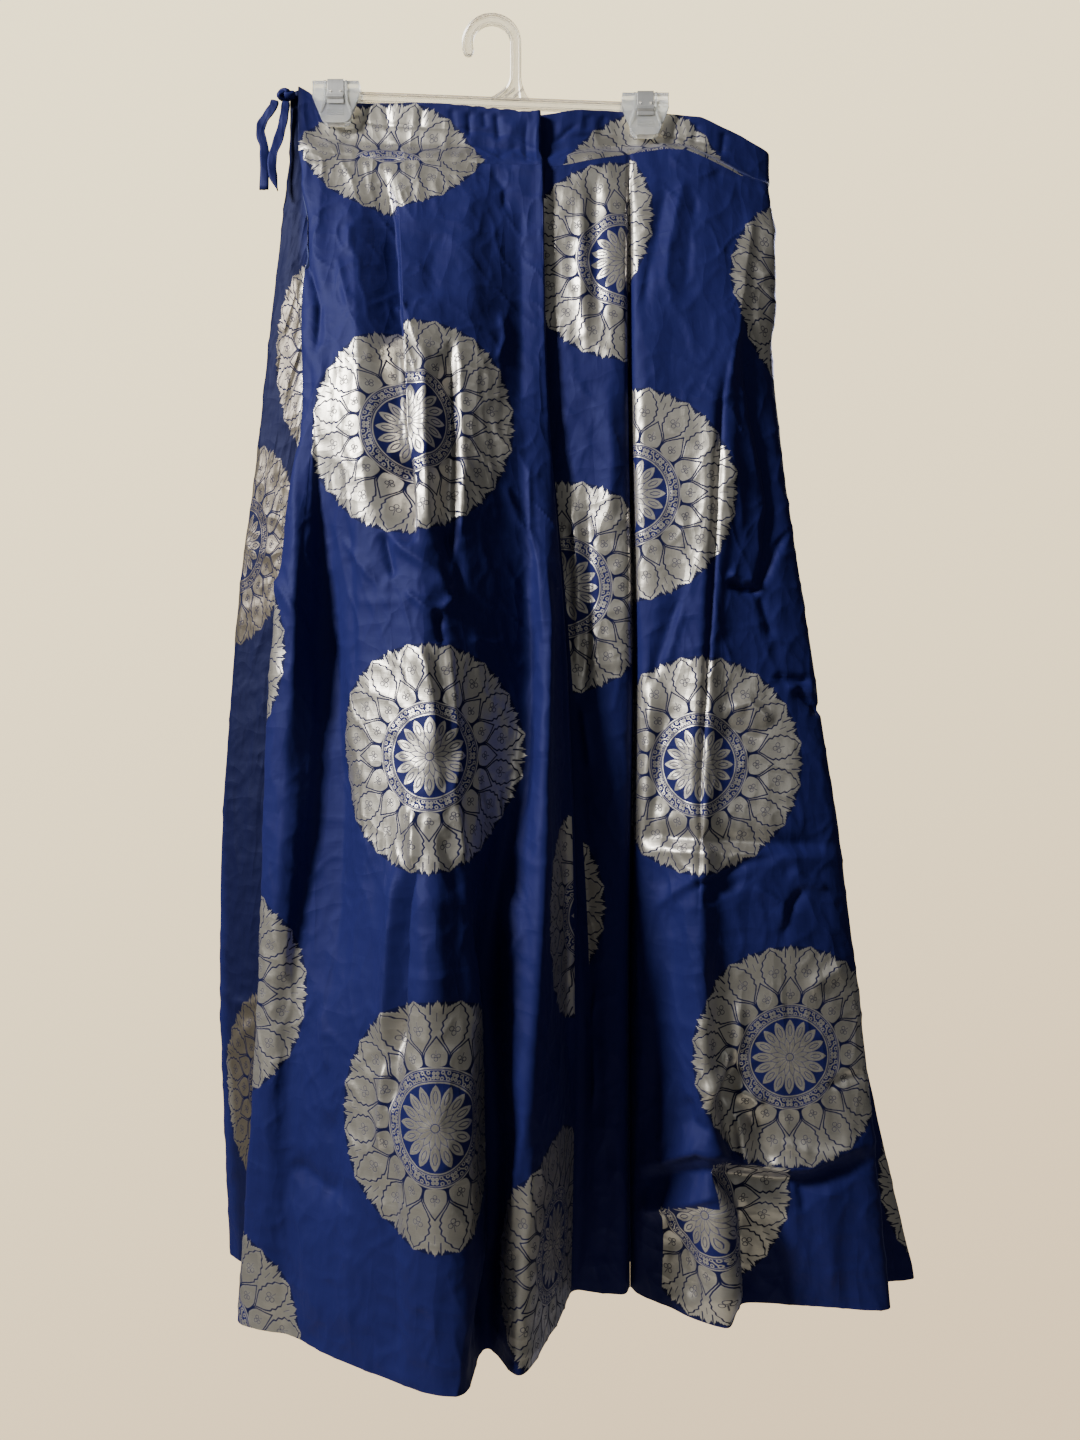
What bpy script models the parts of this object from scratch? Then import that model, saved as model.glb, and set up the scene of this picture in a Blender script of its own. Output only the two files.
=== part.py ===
"""A lehenga skirt of blue and silver brocade, hung by its waistband from a clear clip hanger.

The origin is the inner crown of the hanger's hook, +Z is up, +X is the viewer's right and -Y faces
the viewer. All sizes are metres, except in the tables, which are in millimetres.

The cloth is one wall that runs round the body from the side opening on the left, over the front, and
back along the wall side. Every fold is a row of FOLDS. It gives where that fold line lies at six
levels, from the top of the waistband down to the hem.
"""
import math
from typing import NamedTuple

import bmesh
import bpy
import numpy as np
from mathutils import Vector

MM = 0.001

# Cloth
CLOTH = 1.1 * MM                 # wall of the skirt panels
BAND_WALL = 1.6 * MM             # the casing is two layers
SEAM_GAP = 0.3 * MM
WAIST_GAP = 0.60 * MM            # the casing's wall leans a little over the skirt's
LEVEL_HEIGHTS = (-0.082, -0.130, -0.330, -0.560, -0.820, -1.082)
TOP, SEAM, HIP, THIGH, KNEE, HEM = range(6)      # the levels of those heights
SKIRT_ROWS = 15
BAND_LEVELS = (0, 0.3, 0.62, 0.74, 0.85, 0.94, 1.0)
GRIPPED = 0.62                   # the clips hold this share of the waistband's height flat
COLUMN = 0.019                   # widest column of the mesh at the thigh and knee

# Hanger
HOOK_INNER = 16.3 * MM
HOOK_WIDE = 9.5 * MM
HANGER_DEEP = 5.0 * MM
HOOK_TIP_DEG = 196.0
SHAFT_FOOT = -0.0426             # where the shaft widens into the gusset
GUSSET_LEFT, GUSSET_RIGHT = -0.0005, 0.0325
BAR_HALF = 0.1450
BAR_TALL = 9.0 * MM
BAR_MID = -0.0678                # height of the bar's centre line at x = 0
BAR_FALL = -0.0385               # the bar falls this much per metre towards the right

# Clips
CLIP_WIDE, CLIP_FOOT = 40.0 * MM, 22.0 * MM
CLIP_TALL = 36.0 * MM
JAW_PLATE = 2.4 * MM
JAW_FACE = 11.5 * MM             # from the hanger's plane to a jaw's outer face
LIP_FACE = 3.9 * MM              # from the hanger's plane to a lip's gripping face
LIP_TALL = 7.0 * MM
LIP_CHAMFER = 1.4 * MM
LUG_TALL, LUG_SLOPE = 8.6 * MM, 1.8 * MM
CLIP_RISE = 7.7 * MM             # from the bar's centre line to a clip's top
CLIP_LEFT, CLIP_RIGHT = -0.1335, 0.1326
SPRING_WIDE, SPRING_WALL = 14.0 * MM, 0.9 * MM
SPRING_DROP = 20.0 * MM

# Drawstring
TIE_WIDE, TIE_THICK = 8.0 * MM, 2.0 * MM


class Fold(NamedTuple):
    """A fold line: its place, in millimetres, at the top, seam, hip, thigh, knee and hem."""

    name: str
    x: tuple
    y: tuple


# From the side opening on the left, over the front, round the right side and along the back.
FOLDS = (
    Fold("side opening, front", (-167, -166, -125, -130, -140, -150), (-6.4, -9.5, -13, -13, -16, -12)),
    Fold("flute's left edge", (-163, -162, -158, -177, -184, -198), (-6, -11.5, -45, -62, -75, -78)),
    Fold("outer facet", (-154, -150, -147, -157, -170, -178), (-4, -14, -57, -76, -87, -92)),
    Fold("outer valley", (-138, -133, -128, -134, -152, -153), (-3.2, -13, -60, -64, -84, -99)),
    Fold("left face", (-110, -108, -100, -105, -110, -120), (-3.2, -15, -72, -82, -112, -124)),
    Fold("flute's shoulder", (-85, -80, -72, -75, -75, -80), (-6, -18, -77, -97, -134, -149)),
    Fold("flute's crest", (-60, -57, -55, -44, -37, -26), (-9, -20, -79, -107, -161, -176)),
    Fold("flute's right", (-30, -25, -20, -12, -12, -12), (-11, -21, -70, -88, -148, -173)),
    Fold("middle valley", (0, 8, 20, 28, 0, 2), (-12, -22, -52, -62, -106, -119)),
    Fold("second crest", (24, 29, 37, 47, 40, 27), (-14, -25, -48, -72, -128, -151)),
    Fold("second flank", (34, 37, 43, 57, 57, 52), (-15, -26, -46, -67, -88, -94)),
    Fold("pleat's edge, front", (42, 44, 48, 64, 71, 68), (-15.5, -27, -44, -57, -49, -37)),
    Fold("pleat's edge, back", (42, 44, 48, 64, 74, 71), (-10.4, -21.9, -39, -51, -45, -34)),
    Fold("pleat's hidden end", (24, 27, 27, 38, 77, 74), (-9.2, -20.7, -34, -44, -44, -33)),
    Fold("middle strip's left", (44, 48, 50, 68, 83, 82), (-8.2, -19.7, -34, -41, -46, -35)),
    Fold("middle strip", (78, 82, 84, 94, 97, 98), (-8, -21, -41, -45, -53, -39)),
    Fold("slot's left lip", (110, 114, 113, 116, 112, 113), (-3.2, -18, -42, -42, -50, -39)),
    Fold("slot's seam", (114, 118, 117, 121, 117, 118), (-3.2, -17, -27, -26, -33, -28)),
    Fold("slot's right lip", (118, 122, 121, 126, 122, 123), (-3.2, -18, -42, -43, -49, -38)),
    Fold("gore's inner face", (148, 148, 148, 152, 144, 142), (-3.2, -20, -46, -50, -64, -54)),
    Fold("pressed crease", (180, 178, 200, 180, 170, 190), (-7, -24, -47, -57, -86, -89)),
    Fold("behind the crease", (198, 194, 208, 194, 186, 204), (-6, -24, -43, -51, -74, -55)),
    Fold("gore's outer face", (216, 210, 222, 226, 236, 256), (-3, -23, -37, -46, -71, -57)),
    Fold("gore's right edge", (240, 236, 242, 272, 303, 326), (2, -18, -22, -33, -52, -61)),
    Fold("right side seam", (242, 238, 240, 266, 292, 320), (7, -10, -8, -14, -24, -28)),
    Fold("back's right edge", (238, 238, 243, 270, 307, 363), (11, -3, 3, 0, -4, -12)),
    Fold("back ridge 1", (205, 208, 207, 226, 252, 300), (9, 1, 17, 27, 32, 24)),
    Fold("back valley 1", (170, 175, 178, 186, 205, 244), (5.5, 3, 9, 10, 12, 10)),
    Fold("back ridge 2", (140, 145, 150, 152, 160, 186), (3.4, 5, 17, 29, 36, 37)),
    Fold("back valley 2", (112, 117, 119, 116, 112, 122), (3.4, 4, 10, 12, 15, 14)),
    Fold("back ridge 3", (80, 82, 84, 74, 62, 66), (6, 8, 18, 30, 37, 38)),
    Fold("centre back seam", (63, 65, 65, 53, 40, 40), (7, 7.5, 14.5, 21.5, 24.5, 24)),
    Fold("back valley 3", (46, 48, 46, 33, 18, 14), (8, 7, 11, 13, 12, 10)),
    Fold("back ridge 4", (8, 9, 7, -6, -24, -34), (8, 9, 19, 31, 38, 38)),
    Fold("back valley 4", (-30, -30, -33, -48, -69, -80), (7, 7, 12, 14, 15, 14)),
    Fold("back ridge 5", (-68, -68, -72, -90, -112, -124), (5, 6, 18, 29, 36, 38)),
    Fold("back valley 5", (-110, -108, -110, -130, -150, -160), (3.4, 4, 13, 15, 18, 18)),
    Fold("back ridge 6", (-145, -143, -152, -172, -194, -198), (3.4, 5, 17, 26, 33, 37)),
    Fold("back's left edge", (-176, -177, -203, -229, -243, -236), (5, 6.5, 12, 17, 24, 33)),
    Fold("left strip", (-172, -172, -182, -200, -214, -210), (-0.4, 1, 1, 1, 2, 6)),
    Fold("side opening, back", (-160, -158, -125, -130, -140, -150), (-1, 0, -13, -13, -16, -12)),
)
FOLD_NAMES = [fold.name for fold in FOLDS]

# Height of the waistband's top edge and of its seam at places across the skirt, in millimetres.
TOP_EDGE = ((-180, -60), (-166, -57), (-157, -61.5), (-149, -68.5), (-110, -70), (-80, -71.5),
            (-19, -76), (33, -83), (43, -83), (77, -78), (108, -77.2), (148, -78.6),
            (181, -84), (216, -98), (242, -111))
SEAM_LINE = ((-180, -116), (-161, -114), (-90, -126), (7, -132), (40, -135), (70, -131),
             (120, -121), (148, -118), (166, -120), (185, -129), (212, -142), (236, -149))

# Panels and bands: node, first and last fold.
PANELS = (
    ("skirt_front_left", "side opening, front", "flute's shoulder"),
    ("skirt_front_flute", "flute's shoulder", "middle valley"),
    ("skirt_front_middle", "middle valley", "slot's seam"),
    ("skirt_front_right_gore", "slot's seam", "gore's outer face"),
    ("skirt_right_side", "gore's outer face", "right side seam"),
    ("skirt_back_far_right", "right side seam", "back valley 1"),
    ("skirt_back_right", "back valley 1", "back valley 2"),
    ("skirt_back_middle", "back valley 2", "centre back seam"),
    ("skirt_back_left", "centre back seam", "side opening, back"),
)
BANDS = (
    ("waistband_front_left", "side opening, front", "pleat's hidden end"),
    ("waistband_front_right", "pleat's hidden end", "back ridge 1"),
    ("waistband_back_right", "back ridge 1", "centre back seam"),
    ("waistband_back_left", "centre back seam", "side opening, back"),
)

# Route of each end of the drawstring below the knot, in millimetres: x, y, z.
TIE_ROUTES = {
    "drawstring_end_left": ((-186.8, -6, -68.9), (-188.2, -6, -74), (-194, -5, -81.5), (-199, -4, -89),
                            (-199.8, -4, -97), (-197, -4, -107), (-196.5, -4, -122), (-197, -4, -145)),
    "drawstring_end_right": ((-177.4, -6, -69.9), (-178.4, -6, -79), (-180.4, -6, -90), (-184, -7, -104),
                             (-188.3, -8.5, -118), (-188.6, -8.5, -132), (-184, -8, -148)),
}
TIE_STEPS = 2                    # steps of the smooth line between two points of a route
KNOT_CENTRE = (-177.8, -5.6, -64.0)
KNOT_RADII = (10.5, 4.6, 5.6)


def clear_scene():
    """Remove the objects that the file starts with."""
    for obj in list(bpy.data.objects):
        bpy.data.objects.remove(obj, do_unlink=True)


def material(name, colour, roughness, metallic=0.0, transmission=0.0):
    """A Principled material in one colour."""
    made = bpy.data.materials.new(name)
    made.use_nodes = True
    shader = made.node_tree.nodes["Principled BSDF"]
    shader.inputs["Base Color"].default_value = (*colour, 1.0)
    shader.inputs["Roughness"].default_value = roughness
    shader.inputs["Metallic"].default_value = metallic
    shader.inputs["Transmission Weight"].default_value = transmission
    return made


def brocade(name):
    """Blue silk with silver thread, as one colour."""
    return material(name, (0.022, 0.035, 0.22), 0.42)


def clear_plastic(name):
    """The hanger's clear plastic."""
    return material(name, (0.86, 0.86, 0.84), 0.18, transmission=0.8)


def spring_steel(name):
    """The clips' bright steel."""
    return material(name, (0.62, 0.62, 0.60), 0.28, metallic=1.0)


def link(obj, made):
    """Put an object in the scene with its material."""
    obj.data.materials.append(made)
    bpy.context.scene.collection.objects.link(obj)
    return obj


def object_from(mesh_tool, name, made):
    """Turn a bmesh into a named object."""
    mesh = bpy.data.meshes.new(name)
    mesh_tool.to_mesh(mesh)
    mesh_tool.free()
    return link(bpy.data.objects.new(name, mesh), made)


def hermite(p0, p1, m0, m1, t):
    """A cubic from p0 to p1 with the tangents m0 and m1."""
    return ((2 * t ** 3 - 3 * t ** 2 + 1) * p0 + (t ** 3 - 2 * t ** 2 + t) * m0
            + (-2 * t ** 3 + 3 * t ** 2) * p1 + (t ** 3 - t ** 2) * m1)


def folds_at(level):
    """The place of every fold line at a level from TOP to HEM, as rows of x and y in metres."""
    table = np.array([[fold.x, fold.y] for fold in FOLDS]).transpose(0, 2, 1) * MM
    if level <= SEAM:
        share = max(0.0, level - GRIPPED) / (SEAM - GRIPPED)
        return table[:, TOP] + (table[:, SEAM] - table[:, TOP]) * share ** 2 * (3 - 2 * share)
    low = min(int(level), HEM - 1)
    before, after = max(low - 1, SEAM), min(low + 2, HEM)
    p0, p1 = table[:, low], table[:, low + 1]
    m0 = (p1 - table[:, before]) / (low + 1 - before)
    m1 = (table[:, after] - p0) / (after - low)
    return hermite(p0, p1, m0, m1, level - low)


def smooth_line(knots, counts):
    """A smooth line through the knots, with a count of steps between each two of them."""
    step = np.sqrt(np.linalg.norm(np.diff(knots, axis=0), axis=1))[:, None]
    slope = np.diff(knots, axis=0) / step
    middle = (slope[:-1] * step[1:] + slope[1:] * step[:-1]) / (step[1:] + step[:-1])
    tangent = np.vstack([slope[:1], middle, slope[-1:]])
    line = []
    for k, count in enumerate(counts):
        for j in range(count):
            line.append(hermite(knots[k], knots[k + 1], tangent[k] * step[k],
                                tangent[k + 1] * step[k], j / count))
    line.append(knots[-1])
    return np.array(line)


def section(level, counts):
    """The cloth's line at a level: each stretch between two folds has its count of columns."""
    return smooth_line(folds_at(level), counts)


def heights(x, level):
    """The height of each point of a section at a level, from the x of that point."""
    top = np.interp(x / MM, *zip(*TOP_EDGE)) * MM
    seam = np.interp(x / MM, *zip(*SEAM_LINE)) * MM
    if level <= SEAM:
        return top + (seam - top) * level
    low = min(int(level), HEM - 1)
    upper = seam if low == SEAM else np.full_like(x, LEVEL_HEIGHTS[low])
    return upper + (LEVEL_HEIGHTS[low + 1] - upper) * (level - low)


def column_counts():
    """How many columns each stretch between two folds gets, from its width at thigh and knee."""
    widths = [np.linalg.norm(np.diff(folds_at(level), axis=0), axis=1) for level in (THIGH, KNEE)]
    return [max(2, math.ceil(width / COLUMN)) for width in np.maximum(*widths)]


def trimmed(row):
    """A row of points with half a seam's gap taken off both ends."""
    for end, beside in ((0, 1), (-1, -2)):
        along = row[beside] - row[end]
        row[end] += along / np.linalg.norm(along) * SEAM_GAP / 2
    return row


def cloth_rows(first, last, levels):
    """Rows of points over the cloth between two folds, one row for each level."""
    counts = column_counts()
    begin = sum(counts[:FOLD_NAMES.index(first)])
    stop = sum(counts[:FOLD_NAMES.index(last)]) + 1
    rows = []
    for level in levels:
        x_at_seam = section(min(level, SEAM), counts)[:, 0]
        row = np.column_stack([section(level, counts), heights(x_at_seam, level)])
        rows.append(trimmed(row[begin:stop]))
    return rows


def cloth_wall(name, first, last, levels, thickness):
    """A wall of cloth between two folds: a sheet whose thickness goes inwards."""
    rows = cloth_rows(first, last, levels)
    across, down = len(rows[0]), len(rows)
    tool = bmesh.new()
    bmesh.ops.create_grid(tool, x_segments=across - 1, y_segments=down - 1, size=1.0)
    for vert in tool.verts:
        column = round((vert.co.x + 1) / 2 * (across - 1))
        row = round((1 - vert.co.y) / 2 * (down - 1))
        vert.co = Vector(rows[row][column])
    obj = object_from(tool, name, brocade(name + "_cloth"))
    wall = obj.modifiers.new("wall", "SOLIDIFY")
    wall.thickness = thickness
    wall.offset = -1.0
    obj.data.shade_smooth()


def skirt():
    """The panels of the skirt."""
    drop = WAIST_GAP / (LEVEL_HEIGHTS[SEAM] - LEVEL_HEIGHTS[SEAM + 1])
    levels = np.linspace(SEAM + drop, HEM, SKIRT_ROWS)
    for name, first, last in PANELS:
        cloth_wall(name, first, last, levels, CLOTH)


def waistband():
    """The pieces of the casing."""
    for name, first, last in BANDS:
        cloth_wall(name, first, last, BAND_LEVELS, BAND_WALL)


def drawstring():
    """The knot at the casing's end and the two flat ends that hang from it."""
    tool = bmesh.new()
    bmesh.ops.create_uvsphere(tool, u_segments=14, v_segments=8, radius=1.0)
    bmesh.ops.scale(tool, vec=Vector(KNOT_RADII) * MM, verts=tool.verts)
    bmesh.ops.translate(tool, vec=Vector(KNOT_CENTRE) * MM, verts=tool.verts)
    object_from(tool, "drawstring_knot", brocade("drawstring_knot_cloth")).data.shade_smooth()
    for name, route in TIE_ROUTES.items():
        curve = bpy.data.curves.new(name, "CURVE")
        curve.dimensions = "3D"
        curve.extrude = (TIE_WIDE - TIE_THICK) / 2
        curve.bevel_depth = TIE_THICK / 2
        curve.bevel_resolution = 2
        curve.use_fill_caps = True
        curve.render_resolution_u = 0
        curve.twist_mode = "MINIMUM"
        line = smooth_line(np.array(route) * MM, [TIE_STEPS] * (len(route) - 1))
        spline = curve.splines.new("POLY")
        spline.points.add(len(line) - 1)
        for point, place in zip(spline.points, line):
            point.co = (*place, 1.0)
        link(bpy.data.objects.new(name, curve), brocade(name + "_cloth"))


def extruded(outline, depth, name, made, bevel=0.0):
    """A plate: an outline of x and z, as deep as given, centred on y = 0."""
    tool = bmesh.new()
    verts = [tool.verts.new((x, -depth / 2, z)) for x, z in outline]
    face = tool.faces.new(verts)
    moved = bmesh.ops.extrude_face_region(tool, geom=[face])["geom"]
    far = [item for item in moved if isinstance(item, bmesh.types.BMVert)]
    bmesh.ops.translate(tool, vec=(0, depth, 0), verts=far)
    bmesh.ops.recalc_face_normals(tool, faces=tool.faces)
    obj = object_from(tool, name, made)
    if bevel:
        soften = obj.modifiers.new("soften", "BEVEL")
        soften.width = bevel
        soften.segments = 1
        soften.limit_method = "ANGLE"
        soften.angle_limit = math.radians(40)
    return obj


def arc(radius, start, end, count, centre):
    """Points on an arc, its angles in degrees from +X."""
    angles = np.radians(np.linspace(start, end, count))
    return [(centre[0] + radius * math.cos(a), centre[1] + radius * math.sin(a)) for a in angles]


def bar_height(x):
    """The height of the bar's centre line."""
    return BAR_MID + BAR_FALL * x


def hanger():
    """The hook, its shaft, the gusset and the bar: one moulding."""
    centre = (0.0, -HOOK_INNER)
    outer = HOOK_INNER + HOOK_WIDE
    tip_angle = math.radians(HOOK_TIP_DEG)
    middle = HOOK_INNER + HOOK_WIDE / 2
    tip = (centre[0] + middle * math.cos(tip_angle), centre[1] + middle * math.sin(tip_angle))
    half = BAR_TALL / 2
    outline = arc(outer, HOOK_TIP_DEG, 0, 26, centre)
    outline += [(outer, SHAFT_FOOT), (GUSSET_RIGHT, bar_height(GUSSET_RIGHT) + half)]
    outline += [(BAR_HALF, bar_height(BAR_HALF) + half), (BAR_HALF, bar_height(BAR_HALF) - half)]
    outline += [(-BAR_HALF, bar_height(-BAR_HALF) - half), (-BAR_HALF, bar_height(-BAR_HALF) + half)]
    outline += [(GUSSET_LEFT, bar_height(GUSSET_LEFT) + half), (HOOK_INNER, SHAFT_FOOT)]
    outline += arc(HOOK_INNER, 0, HOOK_TIP_DEG, 20, centre)
    outline += arc(HOOK_WIDE / 2, HOOK_TIP_DEG - 180, HOOK_TIP_DEG - 360, 8, tip)[1:-1]
    extruded(outline, HANGER_DEEP, "hanger", clear_plastic("hanger_plastic"), 1.0 * MM)


def lofted(profile, half_width, place, name, made):
    """A solid from an outline of y and z, as wide at each height as half_width says."""
    tool = bmesh.new()
    left = [tool.verts.new((place[0] - half_width(z), place[1] + y, place[2] + z)) for y, z in profile]
    face = tool.faces.new(left)
    moved = bmesh.ops.extrude_face_region(tool, geom=[face])["geom"]
    for item in moved:
        if isinstance(item, bmesh.types.BMVert):
            item.co.x = 2 * place[0] - item.co.x
    bmesh.ops.recalc_face_normals(tool, faces=tool.faces)
    return object_from(tool, name, made)


def jaw_half_width(z):
    """A jaw narrows evenly from its top to its foot."""
    return (CLIP_WIDE + (CLIP_FOOT - CLIP_WIDE) * -z / CLIP_TALL) / 2


def clip(side, x):
    """A clip: two jaws with a lug round the bar and a lip on the cloth, and the spring over them."""
    top = bar_height(x) + CLIP_RISE
    lug = HANGER_DEEP / 2 + SEAM_GAP
    plate_back = JAW_FACE - JAW_PLATE
    lip_top = LIP_TALL - CLIP_TALL
    jaw = ((-JAW_FACE, 0), (-lug, 0), (-lug, -LUG_TALL), (-plate_back, -LUG_TALL - LUG_SLOPE),
           (-plate_back, lip_top), (-LIP_FACE, lip_top - LIP_CHAMFER),
           (-LIP_FACE, -CLIP_TALL), (-JAW_FACE, -CLIP_TALL))
    for face, sign in (("front", 1), ("back", -1)):
        profile = [(sign * y, z) for y, z in jaw]
        name = f"clip_{side}_{face}_jaw"
        lofted(profile, jaw_half_width, (x, 0, top), name, clear_plastic(name + "_plastic"))
    inner = JAW_FACE + SEAM_GAP
    outer = inner + SPRING_WALL
    spring = ((-outer, -SPRING_DROP), (-outer, SPRING_WALL + SEAM_GAP), (outer, SPRING_WALL + SEAM_GAP),
              (outer, -SPRING_DROP), (inner, -SPRING_DROP), (inner, SEAM_GAP), (-inner, SEAM_GAP),
              (-inner, -SPRING_DROP))
    name = f"clip_{side}_spring"
    lofted(spring, lambda z: SPRING_WIDE / 2, (x, 0, top), name, spring_steel(name + "_steel"))


def main():
    """Build the skirt and its hanger."""
    clear_scene()
    skirt()
    waistband()
    drawstring()
    hanger()
    clip("left", CLIP_LEFT)
    clip("right", CLIP_RIGHT)


main()
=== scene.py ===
"""A lehenga skirt of royal blue brocade with woven silver medallions, on a clear clip hanger.

The frame's origin is the inner crown of the hanger's hook, +Z is up, +X is the viewer's right and -Y
faces the viewer. Sizes are metres, except in the tables, which are in millimetres.

The cloth is laid out once as a grid of points that runs round the body, from the side opening on the
left over the front, round the right side and along the back. Its fold lines are those of the part's
source. The creases of FRONT_CREASES, GORE_CREASES, BAND_CREASES and BACK_CREASES are pressed into it,
and the panels are then cut out of the one grid, so they meet along their seams.
"""
import logging
import math
from dataclasses import dataclass, field
from enum import Enum
from typing import Callable, NamedTuple, Sequence

import bmesh
import bpy
import numpy as np
from mathutils import Matrix, Vector, noise


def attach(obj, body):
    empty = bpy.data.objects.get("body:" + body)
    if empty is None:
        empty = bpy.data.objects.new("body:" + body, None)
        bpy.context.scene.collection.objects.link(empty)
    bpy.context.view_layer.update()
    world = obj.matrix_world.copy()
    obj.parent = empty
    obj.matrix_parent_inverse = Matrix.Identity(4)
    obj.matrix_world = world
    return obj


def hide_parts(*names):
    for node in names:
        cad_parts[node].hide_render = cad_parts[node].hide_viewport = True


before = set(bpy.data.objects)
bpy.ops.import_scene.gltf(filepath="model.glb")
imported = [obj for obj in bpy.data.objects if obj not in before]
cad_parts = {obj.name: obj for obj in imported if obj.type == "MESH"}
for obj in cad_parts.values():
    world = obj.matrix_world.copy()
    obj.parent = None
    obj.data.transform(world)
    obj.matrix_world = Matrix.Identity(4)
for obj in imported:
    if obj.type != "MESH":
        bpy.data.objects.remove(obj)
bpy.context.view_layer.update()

logging.basicConfig(level=logging.INFO, format="%(message)s")
LOG = logging.getLogger("lehenga")

MM = 0.001
BODY = "root"
Array, BMesh, Piece, Material = np.ndarray, bmesh.types.BMesh, bpy.types.Object, bpy.types.Material
Tree, Socket = bpy.types.NodeTree, bpy.types.NodeSocket

# The camera, and the plane of the hanger that the tables of creases are seen on.
CAMERA_PLACE = (0.042, -0.94, -0.604)
LENS_MM = 27.04
SENSOR_MM = 36.0
PLANE_AWAY = 0.94

# The cloth's levels, from the top of the waistband down to the hem.
LEVEL_HEIGHTS = (-0.082, -0.130, -0.330, -0.560, -0.820, -1.082)
TOP, SEAM, HIP, THIGH, KNEE, HEM = range(6)
GRIPPED = 0.62                   # the clips hold this share of the waistband's height flat
SEAM_GAP = 0.3 * MM              # between two panels that are sewn together
WAIST_GAP = 0.12 * MM            # between the waistband and the skirt
COARSE_DEPTH = 1.3 * MM          # of the fine creases that are drawn in the materials
MOTIF_UV, CLOTH_UV = "motif", "cloth"

# A crease falls off like a bell, to this power, and a faceted one in a straight line, a share of it
# rounded, and both fade over a share of their length at each end.
BELL_POWER = 1.6
ROUNDED = 0.4
ROUND_PAST = 0.06
CREASE_END = (-0.04, 0.22)


class Fold(NamedTuple):
    """A fold line: its place, in millimetres, at the top, seam, hip, thigh, knee and hem."""

    name: str
    x: tuple
    y: tuple


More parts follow.
